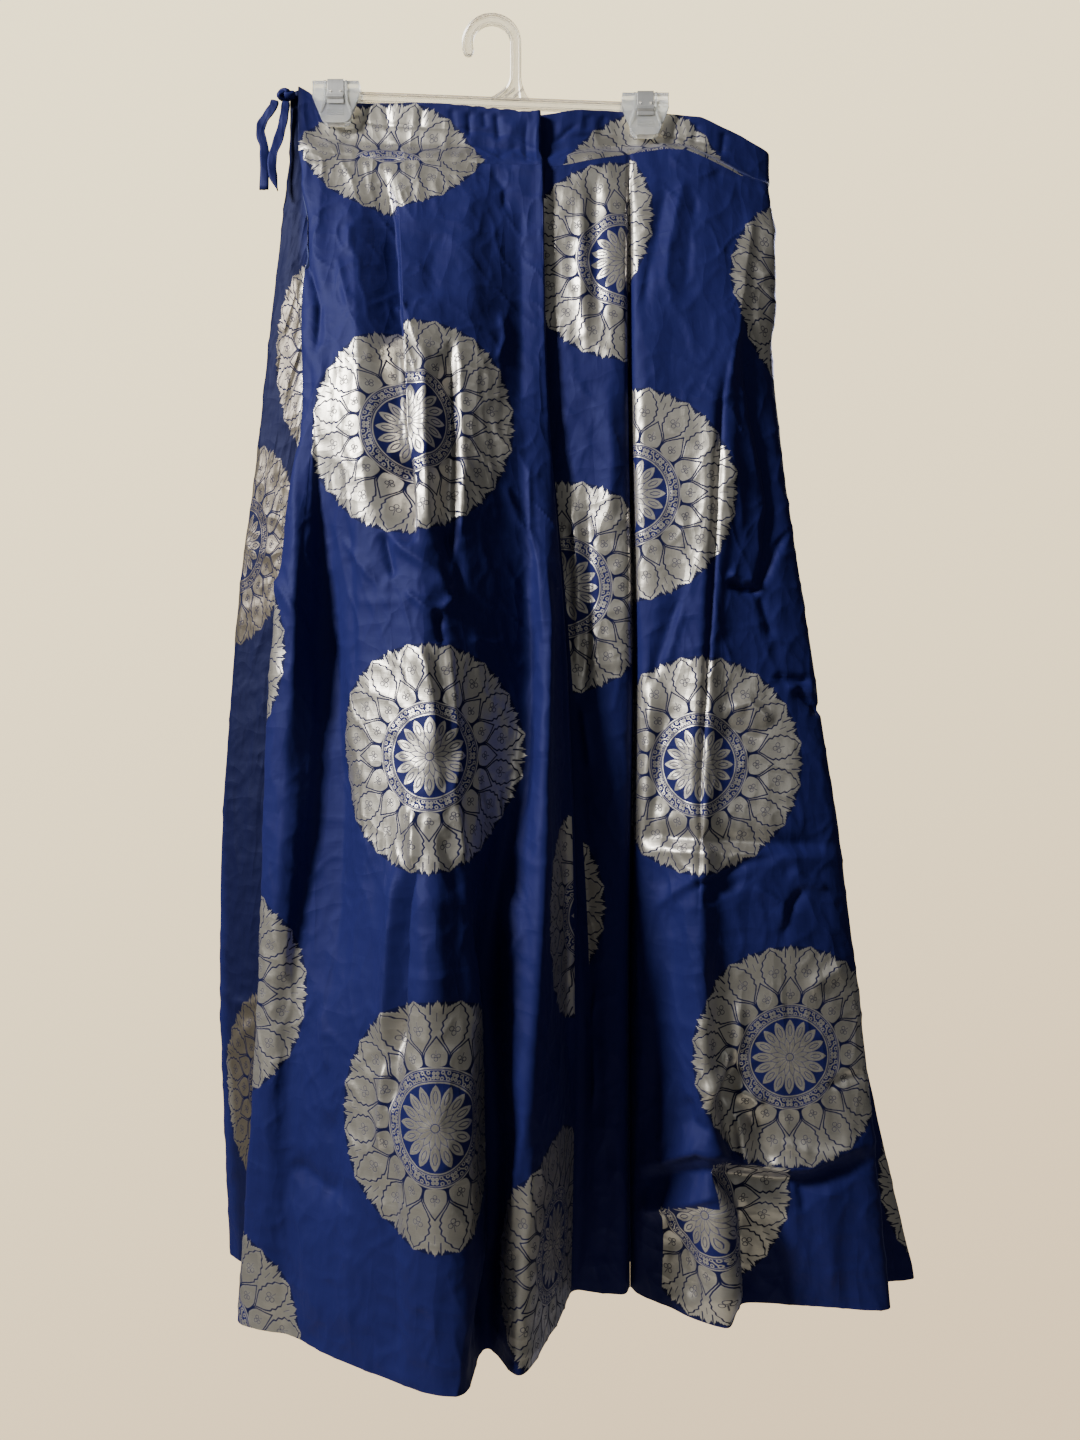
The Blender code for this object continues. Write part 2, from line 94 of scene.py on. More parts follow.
# From the side opening on the left, over the front, round the right side and along the back.
FOLDS = tuple(Fold(*row) for row in (
    ("side opening, front", (-167, -166, -125, -130, -140, -150), (-6.4, -9.5, -13, -13, -16, -12)),
    ("flute's left edge", (-163, -162, -158, -177, -184, -198), (-6, -11.5, -45, -62, -75, -78)),
    ("outer facet", (-154, -150, -147, -157, -170, -178), (-4, -14, -57, -76, -87, -92)),
    ("outer valley", (-138, -133, -128, -134, -152, -153), (-3.2, -13, -60, -64, -84, -99)),
    ("left face", (-110, -108, -100, -105, -110, -120), (-3.2, -15, -72, -82, -112, -124)),
    ("flute's shoulder", (-85, -80, -72, -75, -75, -80), (-6, -18, -77, -97, -134, -149)),
    ("flute's crest", (-60, -57, -55, -44, -37, -26), (-9, -20, -79, -107, -161, -176)),
    ("flute's right", (-30, -25, -20, -12, -12, -12), (-11, -21, -70, -88, -148, -173)),
    ("middle valley", (0, 8, 20, 28, 0, 2), (-12, -22, -52, -62, -106, -119)),
    ("second crest", (24, 29, 37, 47, 40, 27), (-14, -25, -48, -72, -128, -151)),
    ("second flank", (34, 37, 43, 57, 57, 52), (-15, -26, -46, -67, -88, -94)),
    ("pleat's edge, front", (42, 44, 48, 64, 71, 68), (-15.5, -27, -44, -57, -49, -37)),
    ("pleat's edge, back", (42, 44, 48, 64, 74, 71), (-10.4, -21.9, -39, -51, -45, -34)),
    ("pleat's hidden end", (24, 27, 27, 38, 77, 74), (-9.2, -20.7, -34, -44, -44, -33)),
    ("middle strip's left", (44, 48, 50, 68, 83, 82), (-8.2, -19.7, -34, -41, -46, -35)),
    ("middle strip", (78, 82, 84, 94, 97, 98), (-8, -21, -41, -45, -53, -39)),
    ("slot's left lip", (110, 114, 113, 116, 112, 113), (-3.2, -18, -42, -42, -50, -39)),
    ("slot's seam", (114, 118, 117, 121, 117, 118), (-3.2, -17, -27, -26, -33, -28)),
    ("slot's right lip", (118, 122, 121, 126, 122, 123), (-3.2, -18, -42, -43, -49, -38)),
    ("gore's inner face", (148, 148, 148, 152, 144, 142), (-3.2, -20, -46, -50, -64, -54)),
    ("pressed crease", (180, 178, 200, 180, 170, 190), (-7, -24, -47, -57, -86, -89)),
    ("behind the crease", (198, 194, 208, 194, 186, 204), (-6, -24, -43, -51, -74, -55)),
    ("gore's outer face", (216, 210, 222, 226, 236, 256), (-3, -23, -37, -46, -71, -57)),
    ("gore's right edge", (240, 236, 242, 272, 303, 326), (2, -18, -22, -33, -52, -61)),
    ("right side seam", (242, 238, 240, 266, 292, 320), (7, -10, -8, -14, -24, -28)),
    ("back's right edge", (238, 238, 243, 270, 307, 363), (11, -3, 3, 0, -4, -12)),
    ("back ridge 1", (205, 208, 207, 226, 252, 300), (9, 1, 17, 27, 32, 24)),
    ("back valley 1", (170, 175, 178, 186, 205, 244), (5.5, 3, 9, 10, 12, 10)),
    ("back ridge 2", (140, 145, 150, 152, 160, 186), (3.4, 5, 17, 29, 36, 37)),
    ("back valley 2", (112, 117, 119, 116, 112, 122), (3.4, 4, 10, 12, 15, 14)),
    ("back ridge 3", (80, 82, 84, 74, 62, 66), (6, 8, 18, 30, 37, 38)),
    ("centre back seam", (63, 65, 65, 53, 40, 40), (7, 7.5, 14.5, 21.5, 24.5, 24)),
    ("back valley 3", (46, 48, 46, 33, 18, 14), (8, 7, 11, 13, 12, 10)),
    ("back ridge 4", (8, 9, 7, -6, -24, -34), (8, 9, 19, 31, 38, 38)),
    ("back valley 4", (-30, -30, -33, -48, -69, -80), (7, 7, 12, 14, 15, 14)),
    ("back ridge 5", (-68, -68, -72, -90, -112, -124), (5, 6, 18, 29, 36, 38)),
    ("back valley 5", (-110, -108, -110, -130, -150, -160), (3.4, 4, 13, 15, 18, 18)),
    ("back ridge 6", (-145, -143, -152, -172, -194, -198), (3.4, 5, 17, 26, 33, 37)),
    ("back's left edge", (-176, -177, -203, -229, -243, -236), (5, 6.5, 12, 17, 24, 33)),
    ("left strip", (-172, -172, -182, -200, -214, -210), (-0.4, 1, 1, 1, 2, 6)),
    ("side opening, back", (-160, -158, -125, -130, -140, -150), (-1, 0, -13, -13, -16, -12)),
))
FOLD_NAMES = [fold.name for fold in FOLDS]

# Height of the waistband's top edge and of its seam at places across the skirt, in millimetres.
TOP_EDGE = ((-180, -60), (-166, -57), (-157, -61.5), (-149, -68.5), (-110, -70), (-80, -71.5),
            (-19, -76), (33, -83), (43, -83), (77, -78), (108, -77.2), (148, -78.6),
            (181, -84), (216, -98), (242, -111))
SEAM_LINE = ((-180, -116), (-161, -114), (-90, -126), (7, -132), (40, -135), (70, -131),
             (120, -121), (148, -118), (166, -120), (185, -129), (212, -142), (236, -149))


class Crease(NamedTuple):
    """A crease pressed into the cloth, laid out as it is seen on the hanger's plane, in millimetres.

    The path holds x, z, x, z and so on. The widths are those on the first side (left of a steep line,
    above a flat one) and the second. A faceted crease has straight faces.
    """

    name: str
    path: tuple
    height: float
    first_width: float
    second_width: float
    faceted: bool = False


class Motif(NamedTuple):
    """A woven medallion whose centre is seen at a place on the hanger's plane, in millimetres.

    It is measured from the cloth between two folds, and its centre may lie outside that stretch.
    A pleat may hide it on all the cloth but that between two other folds, and a tuck on all but
    that which is seen between two heights.
    """

    name: str
    place: tuple
    first_fold: str
    last_fold: str
    shown_from: str = "side opening, front"
    shown_to: str = "side opening, back"
    shown_under: float = 0.0
    shown_over: float = -2000.0


class BackMotif(NamedTuple):
    """A woven medallion beside a fold of the back or the side, at a height in millimetres."""

    name: str
    fold: str
    height: float
    aside: float = 0.0


def crease_rows(*rows: tuple) -> list:
    """Creases from rows of what each of them holds."""
    return [Crease(*row) for row in rows]


# The creases of the front, left and middle, and of the right gore.
FRONT_CREASES = crease_rows(
    ("valley down the flute's left", (-163, -265, -146, -465, -139, -587, -140, -760, -145, -856),
     -11, 20, 10),
    ("edge beside the left valley", (-155, -535, -155, -611, -163, -733, -170, -777), 4.3, 13, 3),
    ("slanting edge, left", (-193, -472, -174, -503, -154, -535), 3.5, 9, 3),
    ("upright edge, left", (-173, -361, -170, -465, -171, -543, -173, -604), 3.5, 9, 3),
    ("second upright edge, left", (-156, -352, -154, -448, -154, -534), 2.7, 8, 4),
    ("facet's edge", (-126, -413, -123, -491, -121, -578), -3, 9, 5),
    ("broad step under the clip", (-92, -130, -86, -165, -81, -269, -78, -352, -71, -448),
     -21, 36, 5, True),
    ("bright line in the second medallion", (-59, -274, -59, -352, -56, -439), 5, 5, 5),
    ("dark face beside it", (-34, -265, -31, -361, -32, -430, -36, -478), -10, 20, 4, True),
    ("bright line, left half", (-83, -265, -81, -317, -79, -369), 3.2, 4, 4),
    ("slant under the second medallion", (-92, -437, -76, -456, -54, -471, -33, -497), 4.9, 5, 7),
    ("fold back to the pucker", (-33, -497, -41, -505, -48, -511), 4.1, 4, 4),
    ("pucker over the third medallion", (-45, -505, -46, -517, -42, -540), -4.6, 3, 3),
    ("pucker's left branch", (-76, -491, -62, -502, -48, -513), 3, 4, 4),
    ("pucker's right branch", (-37, -437, -29, -469, -27, -501), -3.5, 4, 5),
    ("short dark fold", (-95, -440, -90, -461, -86, -482), -4.3, 4, 4),
    ("fine slant, left", (-133, -444, -117, -465, -100, -486), 1.8, 4, 3),
    ("fine slant, right", (9, -397, 19, -422, 30, -444), 1.9, 3, 4),
    ("fine slant, far right", (32, -376, 34, -439, 41, -469, 46, -534), 2.2, 4, 3),
    ("level line, right", (-22, -535, -4, -537, 14, -535), 1.4, 3, 4),
    ("level line, middle", (-121, -500, -99, -502, -76, -500), 1.2, 4, 4),
    ("bright face in the third medallion", (-64, -534, -56, -559, -51, -591, -48, -639), 5.7, 9, 4),
    ("bright line in the third medallion", (-39, -534, -37, -562, -34, -597, -31, -628), 4.3, 3.5, 3.5),
    ("broken line in the third medallion", (-27, -623, -31, -649, -34, -665, -28, -679), 3.8, 4, 4),
    ("lower line, left", (-68, -678, -67, -704, -68, -736), 4.3, 4, 4),
    ("lower line, right", (-32, -674, -28, -701, -25, -733), 4.3, 4, 3),
    ("pressed fold under the third medallion", (-66, -726, -70, -760, -73, -804, -76, -860, -79, -903),
     -12, 15, 2.4, True),
    ("soft ridge beside it", (-62, -743, -59, -813, -55, -891), 3, 12, 14),
    ("fold that hangs over the pressed fold", (-78, -722, -83, -760, -87, -804, -91, -860, -94, -903),
     5.5, 10, 6),
    ("dark wedge in the second medallion", (-73, -368, -70, -410, -68, -450), -10, 34, 5, True),
    ("bright edge right of the wedge", (-22, -370, -30, -410, -36, -446), 4, 4, 14),
    ("flute's crest edge", (-25, -731, -19, -806, -15, -847, -11, -899,
      -7, -966, -8, -1047, -19, -1108, -25, -1191), 5.4, 11, 4),
    ("dark face right of the crest", (-14, -740, -8, -806, -3, -870,
      1, -966, 0, -1047, -9, -1108, -15, -1180), -7, 6, 15),
    ("swell on the second flute", (8, -735, 18, -800, 22, -880, 24, -960), 5, 14, 12),
    ("face between the pressed fold and the crest", (-50, -740, -46, -800, -44, -860), 4.5, 16, 12),
    ("shade of the flute's left", (-133, -620, -128, -700, -128, -790, -134, -870), -5, 12, 16),
    ("lit face of the flute's left", (-168, -640, -176, -740, -182, -850), 4, 10, 10),
    ("dark valley of the pleat", (58, -470, 62, -560, 66, -660, 68, -760, 68, -860, 66, -960), -5, 12, 8),
    ("shade under the pucker", (-45, -700, -36, -725, -30, -760), -4, 6, 8),
    ("second flute's edge", (46, -587, 47, -674, 44, -760, 40, -833,
      33, -940, 17, -1042, 14, -1093, 22, -1174), 4.6, 9, 5),
    ("bright ridge on the second flank", (46, -452, 51, -517, 50, -587, 46, -674), 4.3, 6, 4),
    ("dark groove left of it", (28, -465, 33, -534, 31, -639, 25, -708), -4.9, 8, 6),
    ("thin line, low left", (-149, -854, -147, -882, -142, -910), 2.3, 3, 4),
    ("soft hollow, low left", (-174, -986, -156, -1002, -134, -1021), -4.1, 9, 9),
    ("soft hollow, lower left", (-140, -943, -137, -986, -127, -1034), -3.5, 10, 7),
    ("soft ridge, low left", (-167, -1012, -161, -1065, -151, -1134), 3.2, 12, 10),
    ("face edge, bottom", (-84, -978, -86, -1073, -82, -1173), -4.1, 12, 7),
    ("face edge, bottom left", (-121, -960, -123, -1056, -124, -1156), 2.7, 9, 9),
    ("bright fold in the lowest medallion", (-92, -899, -94, -934, -96, -978), 4.6, 5, 5),
    ("dark fold in the lowest medallion", (-83, -856, -85, -899, -86, -943), -4.6, 4, 6),
    ("crease below the band", (-2, -124, 11, -143, 10, -163), -2, 3.5, 5),
    ("bent crease, upper right", (7, -249, 12, -272, 4, -293), 2.7, 3, 4),
    ("small crease, upper middle", (-87, -232, -81, -238, -74, -247), 2.2, 3, 3),
    ("small upright, upper left", (-124, -173, -124, -196), 1.9, 3, 3),
    ("small slant, upper left", (-134, -201, -129, -223, -123, -249), 2.4, 3.5, 4),
    ("jog in the left fold", (-165, -145, -164, -203, -150, -242, -154, -291), -5.4, 5, 6),
    ("soft upright, upper right", (-21, -135, -19, -196, -15, -265), 2.4, 14, 12),
    ("soft hollow, upper right", (25, -143, 26, -239, 25, -352), -4.3, 14, 10),
    ("soft upright, upper middle", (-54, -174, -50, -239), -2.7, 10, 10),
    ("fold in the strip's medallion", (82, -395, 85, -465, 83, -534, 79, -587), -4.1, 5, 4),
    ("ridge in the strip's medallion", (72, -413, 75, -491, 73, -578), 3.2, 5, 4),
    ("slant in the strip", (77, -588, 83, -621, 87, -649), 2.7, 4, 3),
    ("strip's upper fold", (91, -117, 89, -187, 94, -265), -4.1, 7, 5),
    ("strip's bright edge", (80, -143, 78, -213, 84, -291), 3.2, 5, 5),
    ("strip's soft ridge", (101, -309, 105, -378, 103, -448), 3, 8, 6),
    ("crooked crease in the strip", (92, -834, 85, -873, 90, -920, 85, -953), 3.2, 4, 3),
    ("short slant in the strip", (106, -959, 113, -952, 122, -949), -2.4, 3, 3),
    ("strip's lowest slant", (70, -1051, 74, -1034, 79, -1019), 2.4, 4, 3),
    ("strip's hollow, low", (98, -960, 101, -1021, 98, -1091), -3, 8, 7),
    ("upper fold, far right of the pleat", (59, -882, 56, -952, 53, -1021), 2.7, 8, 8),
)
GORE_CREASES = crease_rows(
    ("crease fan, first", (168, -131, 160, -165, 154, -195, 150, -239), 2.5, 5, 5),
    ("crease fan, second", (153, -135, 142, -187, 129, -251), -2.5, 6, 5),
    ("crease fan, third", (181, -135, 172, -187, 167, -248), -2, 7, 7),
    ("shade under the band", (189, -124, 212, -130, 237, -136), -2.5, 3, 8),
    ("side fold", (228, -152, 221, -195, 212, -273, 200, -331), 3.8, 8, 6),
    ("bulge at the hip", (244, -156, 249, -186, 250, -229, 245, -274), 5.2, 22, 30),
    ("pressed crease", (211, -257, 200, -326, 195, -441, 189, -544,
      185, -607, 182, -656, 181, -717, 179, -786), -4, 3.4, 2.4),
    ("pressed crease's left face", (200, -265, 191, -343, 186, -448, 181, -543, 176, -639, 172, -717),
     3, 12, 7),
    ("dark side fold", (217, -274, 223, -313, 229, -348, 238, -387, 242, -419, 237, -461, 231, -493),
     -5.8, 3.5, 9),
    ("ridge beside the side fold", (205, -361, 214, -404, 218, -448), 2.8, 9, 6),
    ("side tuck", (205, -482, 219, -490, 235, -492), -7, 3.2, 4),
    ("side tuck's upper lip", (204, -476, 218, -483, 230, -485), 4.2, 5, 3),
    ("tuck's rising branch", (231, -491, 240, -474, 247, -458, 256, -441), -3.8, 5, 3.5),
    ("tuck's hanging branch", (233, -493, 237, -508, 244, -534), -3, 4, 5),
    ("soft slant under the tuck", (200, -534, 211, -559, 223, -587), 2, 6, 8),
    ("rising slant, left of the crease", (136, -578, 151, -534, 165, -491), -3.2, 7, 6),
    ("rising slant's ridge", (150, -559, 160, -526, 167, -500), 2.5, 5, 5),
    ("notch in the right edge", (244, -566, 259, -568, 278, -570), -4.2, 3, 5),
    ("second notch", (264, -576, 273, -584, 287, -599), -5, 4, 4),
    ("ridge between the notches", (256, -573, 268, -576, 282, -581), 2.8, 4, 4),
    ("soft hill in the medallion", (204, -594, 223, -589, 244, -606), 4.5, 5, 8),
    ("soft hollow in the medallion", (195, -607, 214, -613, 237, -623), -3.8, 8, 8),
    ("left face of the medallion", (139, -559, 134, -621, 129, -700), 3.8, 4, 9),
    ("dark left face", (150, -587, 145, -639, 139, -704), -3.8, 6, 8),
    ("crosswise fold", (117, -703, 183, -708, 236, -711, 304, -713), -5.2, 9, 6),
    ("crosswise fold's lower lip", (117, -713, 183, -718, 236, -721, 304, -724), 3.2, 4, 10),
    ("first slant under the fold", (139, -769, 160, -754, 184, -740, 212, -729), 3.2, 7, 5),
    ("second slant under the fold", (166, -754, 196, -740, 224, -727, 256, -720), -3.5, 6, 5),
    ("cross wrinkle, falling", (223, -747, 238, -754, 251, -764, 257, -790), 3.5, 5, 4),
    ("cross wrinkle, rising", (275, -748, 264, -760, 257, -773, 254, -795), -3.5, 4, 5),
    ("cross wrinkle, left", (181, -765, 200, -752, 220, -743), -2.8, 6, 6),
    ("cross wrinkle, right", (259, -733, 273, -743, 291, -750), 2.8, 4, 5),
    ("bright patch at the upper right", (273, -839, 291, -826, 308, -816), 3.8, 6, 8),
    ("bright upright in the medallion", (214, -847, 215, -873, 212, -896), 4, 4, 5),
    ("crumple's bright edge", (207, -889, 200, -905, 192, -920, 186, -936), 6.2, 5, 4),
    ("crumple's shade", (214, -901, 205, -920, 200, -941), -5, 5, 6),
    ("crumple's second ridge", (211, -924, 226, -929, 235, -941), 4.5, 4, 5),
    ("crumple's falling ridge", (212, -943, 218, -966, 223, -990), 6.2, 8, 4),
    ("crumple's falling shade", (223, -945, 233, -974, 245, -992), -6.2, 4, 8),
    ("crumple's low ridge", (251, -969, 264, -974, 278, -978), 3.2, 4, 6),
    ("small shelf, right", (291, -924, 308, -915, 327, -912), -3.2, 4, 5),
    ("tuck over the hem", (124, -992, 153, -986, 181, -978, 202, -985,
      226, -984, 251, -992, 273, -992, 303, -979, 336, -969), 7.5, 15, 5),
    ("groove under the tuck", (124, -1004, 153, -1000, 181, -997,
      207, -1000, 242, -1005, 277, -1004, 336, -983), -6, 5, 12),
    ("flap's upper edge", (125, -1028, 148, -1028, 172, -1024, 200, -1014), 6.9, 14, 5),
    ("flap's bright edge", (200, -1009, 205, -1034, 207, -1073, 208, -1127), 8.5, 24, 6),
    ("flap's shade, right", (214, -1021, 217, -1065, 218, -1108), -4.2, 4, 9),
    ("flap's hollow", (160, -1044, 167, -1073, 181, -1108), -5, 12, 12),
    ("short upright under the tuck", (267, -1007, 270, -1019, 271, -1032), -3, 3, 4),
    ("soft upright, bottom right", (291, -995, 294, -1047, 297, -1108), 2.8, 12, 12),
    ("soft hollow, bottom right", (254, -1021, 252, -1065, 256, -1108), -2.5, 10, 10),
    ("low left upright", (139, -813, 143, -882, 139, -960), -2.8, 9, 9),
    ("low left ridge", (157, -917, 153, -943, 150, -978), 3, 8, 6),
    ("low left shade", (169, -931, 174, -952, 191, -966), -3.5, 6, 5),
)

# The casing's puckers and its stitched line.
BAND_CREASES = crease_rows(
    ("stitched line, left", (-166, -71, -100, -86, -19, -91, 36, -99), -1.1, 1.9, 1.9),
    ("stitched line, right", (44, -99, 108, -95, 148, -95, 181, -100, 230, -120), -1.1, 1.9, 1.9),
    ("pucker 1", (-35, -72, -33, -92), -1.6, 2.6, 4),
    ("pucker 2", (-20, -74, -19, -98), -2.2, 3, 3),
    ("pucker 3", (-7, -75, -6, -90), -1.4, 2.6, 3),
    ("pucker 4", (4, -76, 6, -101), -2.4, 2.6, 4),
    ("swell by the join", (20, -80, 14, -100, 20, -122), 1.6, 8, 6),
    ("hollow by the join", (31, -80, 29, -98, 31, -124), -1.4, 3, 3.5),
    ("ridge at the join", (40, -82, 38.6, -100, 40, -130), 0.8, 2, 2.6),
    ("pucker 5", (52, -84, 54, -104), -1.6, 3, 3),
    ("slanting pucker", (56, -101, 66, -92, 74, -86), -1.6, 2.6, 3),
    ("pucker 6", (84, -78, 83, -92), -1.4, 2.6, 2.6),
    ("pucker 7", (97, -78, 95, -96), -1.8, 2.6, 3.4),
    ("swell in the corner", (60, -112, 84, -118, 104, -112), 1.4, 6, 6),
    ("slant above the seam", (-4, -126, 6, -114, 24, -106), -1.3, 3, 4),
    ("pucker 8", (-60, -70, -62, -90), -1.4, 3, 3),
    ("pucker 9", (-92, -68, -90, -92), -1.6, 4, 3),
    ("pucker 10", (178, -84, 176, -104), -1.6, 3, 4),
    ("pucker 11", (203, -92, 200, -114), -1.8, 4, 3),
)
# The creases of the back and the side, in millimetres of x and z.
BACK_CREASES = crease_rows(
    ("long valley, right", (250, -330, 262, -560, 290, -800, 312, -1000), -3.4, 12, 14),
    ("pressed fold, right", (205, -260, 214, -480, 236, -700, 262, -930), 3.0, 10, 4),
    ("soft hollow, right", (178, -420, 190, -640, 215, -850), -2.6, 12, 8),
    ("slanting crease, right", (262, -600, 236, -640, 204, -662), 2.2, 5, 7),
    ("crosswise fold, right", (150, -700, 220, -706, 300, -702), -2.6, 7, 5),
    ("short crease, right", (286, -742, 268, -770, 258, -810), 2.0, 5, 4),
    ("pucker, upper right", (168, -252, 172, -290, 166, -330), -2.4, 4, 6),
    ("branch of the pucker", (172, -290, 190, -312, 214, -322), 2.0, 4, 5),
    ("long edge, middle", (92, -240, 88, -470, 70, -720, 66, -980), 2.6, 11, 4),
    ("dark fold, middle", (36, -220, 34, -420, 12, -640, 2, -860), -3.2, 6, 10),
    ("slanting crease, middle", (-30, -470, 4, -500, 44, -516), 2.0, 5, 6),
    ("fine slant, middle", (96, -560, 70, -590, 52, -630), 1.6, 4, 4),
    ("short folds, middle", (12, -700, 22, -736, 18, -780), -2.2, 4, 5),
    ("cross wrinkle, middle", (-52, -842, -12, -860, 40, -852), 2.2, 6, 4),
    ("soft hollow, middle", (128, -860, 122, -950, 130, -1050), -2.8, 10, 10),
    ("long valley, left", (-96, -230, -104, -440, -126, -690, -140, -930), -3.4, 9, 12),
    ("pressed fold, left", (-54, -260, -62, -500, -82, -760, -92, -1000), 2.8, 4, 10),
    ("slanting crease, left", (-150, -400, -124, -436, -88, -452), 2.0, 5, 5),
    ("bent crease, left", (-182, -560, -158, -590, -166, -640), -2.2, 5, 4),
    ("cross wrinkle, left", (-200, -780, -150, -792, -104, -776), 2.4, 5, 7),
    ("low crease, left", (-118, -950, -124, -1000, -116, -1050), 2.0, 6, 6),
    ("low hollow, left", (-62, -930, -58, -990, -66, -1060), -2.6, 8, 10),
    ("tuck near the hem, right", (176, -960, 236, -974, 300, -958), 4.0, 10, 5),
    ("groove under the tuck", (176, -974, 236, -988, 300, -974), -3.2, 5, 9),
    ("strip's upright", (-216, -420, -222, -560, -236, -720), 2.0, 6, 4),
    ("strip's cross crease", (-246, -840, -224, -852, -196, -846), 1.8, 4, 6),
    ("strip's corner fold", (-238, -900, -222, -884, -206, -862), 2.6, 4, 7),
)

# Where the woven medallions lie.
MOTIFS = {
    "band": (
        Motif("left", (-90, -148), "side opening, front", "pleat's edge, front"),
        Motif("right", (142, -148), "middle strip's left", "right side seam"),
    ),
    "front": (
        Motif("top left", (-89, -77), "side opening, front", "middle valley"),
        Motif("second left", (-72, -344), "side opening, front", "middle valley"),
        Motif("third left", (-54, -636), "side opening, front", "middle valley"),
        Motif("lowest left", (-49, -959), "side opening, front", "middle valley",
              shown_to="middle valley"),
        Motif("edge, second", (-276, -545), "outer facet", "outer valley"),
        Motif("edge, third", (-255, -842), "outer facet", "outer valley"),
        Motif("edge, lowest", (-251, -1147), "outer facet", "outer valley"),
        Motif("strip, top", (117, -205), "middle strip's left", "slot's left lip"),
        Motif("strip, second", (61, -489), "middle strip's left", "slot's left lip",
              "middle strip's left", "slot's seam"),
        Motif("strip, third", (9, -766), "middle strip's left", "middle strip",
              "middle strip's left", "slot's seam"),
        Motif("pleat, third", (86, -774), "second flank", "pleat's edge, front",
              "middle valley", "pleat's edge, front"),
        Motif("strip, right", (198, -927), "middle strip's left", "slot's left lip"),
        Motif("second flute, low", (54, -1060), "second crest", "pleat's edge, front",
              "middle valley", "pleat's edge, front"),
    ),
    "gore": (
        Motif("top left", (59, -167), "slot's right lip", "gore's inner face"),
        Motif("second", (122, -408), "slot's right lip", "pressed crease"),
        Motif("third", (181, -643), "slot's right lip", "behind the crease"),
        Motif("fourth", (259, -897), "slot's right lip", "gore's outer face", shown_over=-988),
        Motif("far right", (266, -232), "gore's outer face", "gore's right edge"),
        Motif("under the tuck", (187, -1032), "slot's right lip", "gore's outer face",
              shown_from="pressed crease", shown_under=-988),
        Motif("on the flap", (187, -1032), "slot's right lip", "gore's outer face",
              shown_from="gore's inner face", shown_to="pressed crease", shown_under=-1024),
    ),
}


DROP = 290                       # from one medallion of a column down to the next


def back_column(name: str, fold: str, top: float, count: int) -> tuple:
    """An even column of medallions, from the height of the top one down."""
    return tuple(BackMotif(f"{name}, number {k + 1}", fold, top - DROP * k) for k in range(count))


BACK_MOTIFS = {
    "back left": (
        *back_column("middle", "back valley 3", -161, 4),
        BackMotif("left, top", "back ridge 5", -306),
        BackMotif("left, second", "back ridge 5", -608),
        BackMotif("left, lowest", "back ridge 5", -898),
        BackMotif("strip, top", "side opening, back", -293, -17),
        BackMotif("strip, second", "back's left edge", -451),
        BackMotif("strip, lowest", "left strip", -924, 45),
    ),
    "back right": (*back_column("right", "back valley 2", -306, 3),
                   *back_column("side", "back ridge 1", -161, 4)),
}


def unit(vectors: Array) -> Array:
    """Vectors, along the last axis, made one long."""
    return vectors / np.linalg.norm(vectors, axis=-1, keepdims=True)


def hermite(p0: Array, p1: Array, m0: Array, m1: Array, t: float) -> Array:
    """A point on the cubic between two points with a slope at each, at a share of the way."""
    return ((2 * t ** 3 - 3 * t ** 2 + 1) * p0 + (t ** 3 - 2 * t ** 2 + t) * m0
            + (3 * t ** 2 - 2 * t ** 3) * p1 + (t ** 3 - t ** 2) * m1)


def smooth_step(low: float, high: float, value: Array) -> Array:
    """0 below low, 1 above high, and a smooth rise between them."""
    share = np.clip((value - low) / (high - low), 0.0, 1.0)
    return share * share * (3 - 2 * share)


def smooth_line(knots: Array, counts: Sequence[int]) -> Array:
    """A smooth line through knots.

    Args:
        knots: Points, one row each.
        counts: Number of steps between each two knots.

    Returns:
        The line's points, one row each.
    """
    step = np.sqrt(np.linalg.norm(np.diff(knots, axis=0), axis=1))[:, None]
    slope = np.diff(knots, axis=0) / step
    middle = (slope[:-1] * step[1:] + slope[1:] * step[:-1]) / (step[1:] + step[:-1])
    tangent = np.vstack([slope[:1], middle, slope[-1:]])
    line = []
    for k, count in enumerate(counts):
        t = (np.arange(count) / count)[:, None]
        line.append(hermite(knots[k], knots[k + 1], tangent[k] * step[k], tangent[k + 1] * step[k], t))
    line.append(knots[-1:])
    return np.vstack(line)


def folds_at(level: float) -> Array:
    """The place of every fold line at a level.

    Args:
        level: The level, from TOP to HEM.

    Returns:
        Rows of x and y in metres.
    """
    table = np.array([[fold.x, fold.y] for fold in FOLDS]).transpose(0, 2, 1) * MM
    if level <= SEAM:
        share = max(0.0, level - GRIPPED) / (SEAM - GRIPPED)
        return table[:, TOP] + (table[:, SEAM] - table[:, TOP]) * share ** 2 * (3 - 2 * share)
    low = min(int(level), HEM - 1)
    before, after = max(low - 1, SEAM), min(low + 2, HEM)
    p0, p1 = table[:, low], table[:, low + 1]
    m0 = (p1 - table[:, before]) / (low + 1 - before)
    m1 = (table[:, after] - p0) / (after - low)
    return hermite(p0, p1, m0, m1, level - low)


def heights(x: Array, level: float) -> Array:
    """The height of each point of a row.

    Args:
        x: The x of each point's column where it meets the seam, or at this level above the seam.
        level: The row's level.

    Returns:
        The heights in metres.
    """
    top = np.interp(x / MM, *zip(*TOP_EDGE)) * MM
    seam = np.interp(x / MM, *zip(*SEAM_LINE)) * MM
    if level <= SEAM:
        return top + (seam - top) * level
    low = min(int(level), HEM - 1)
    upper = seam if low == SEAM else np.full_like(x, LEVEL_HEIGHTS[low])
    return upper + (LEVEL_HEIGHTS[low + 1] - upper) * (level - low)


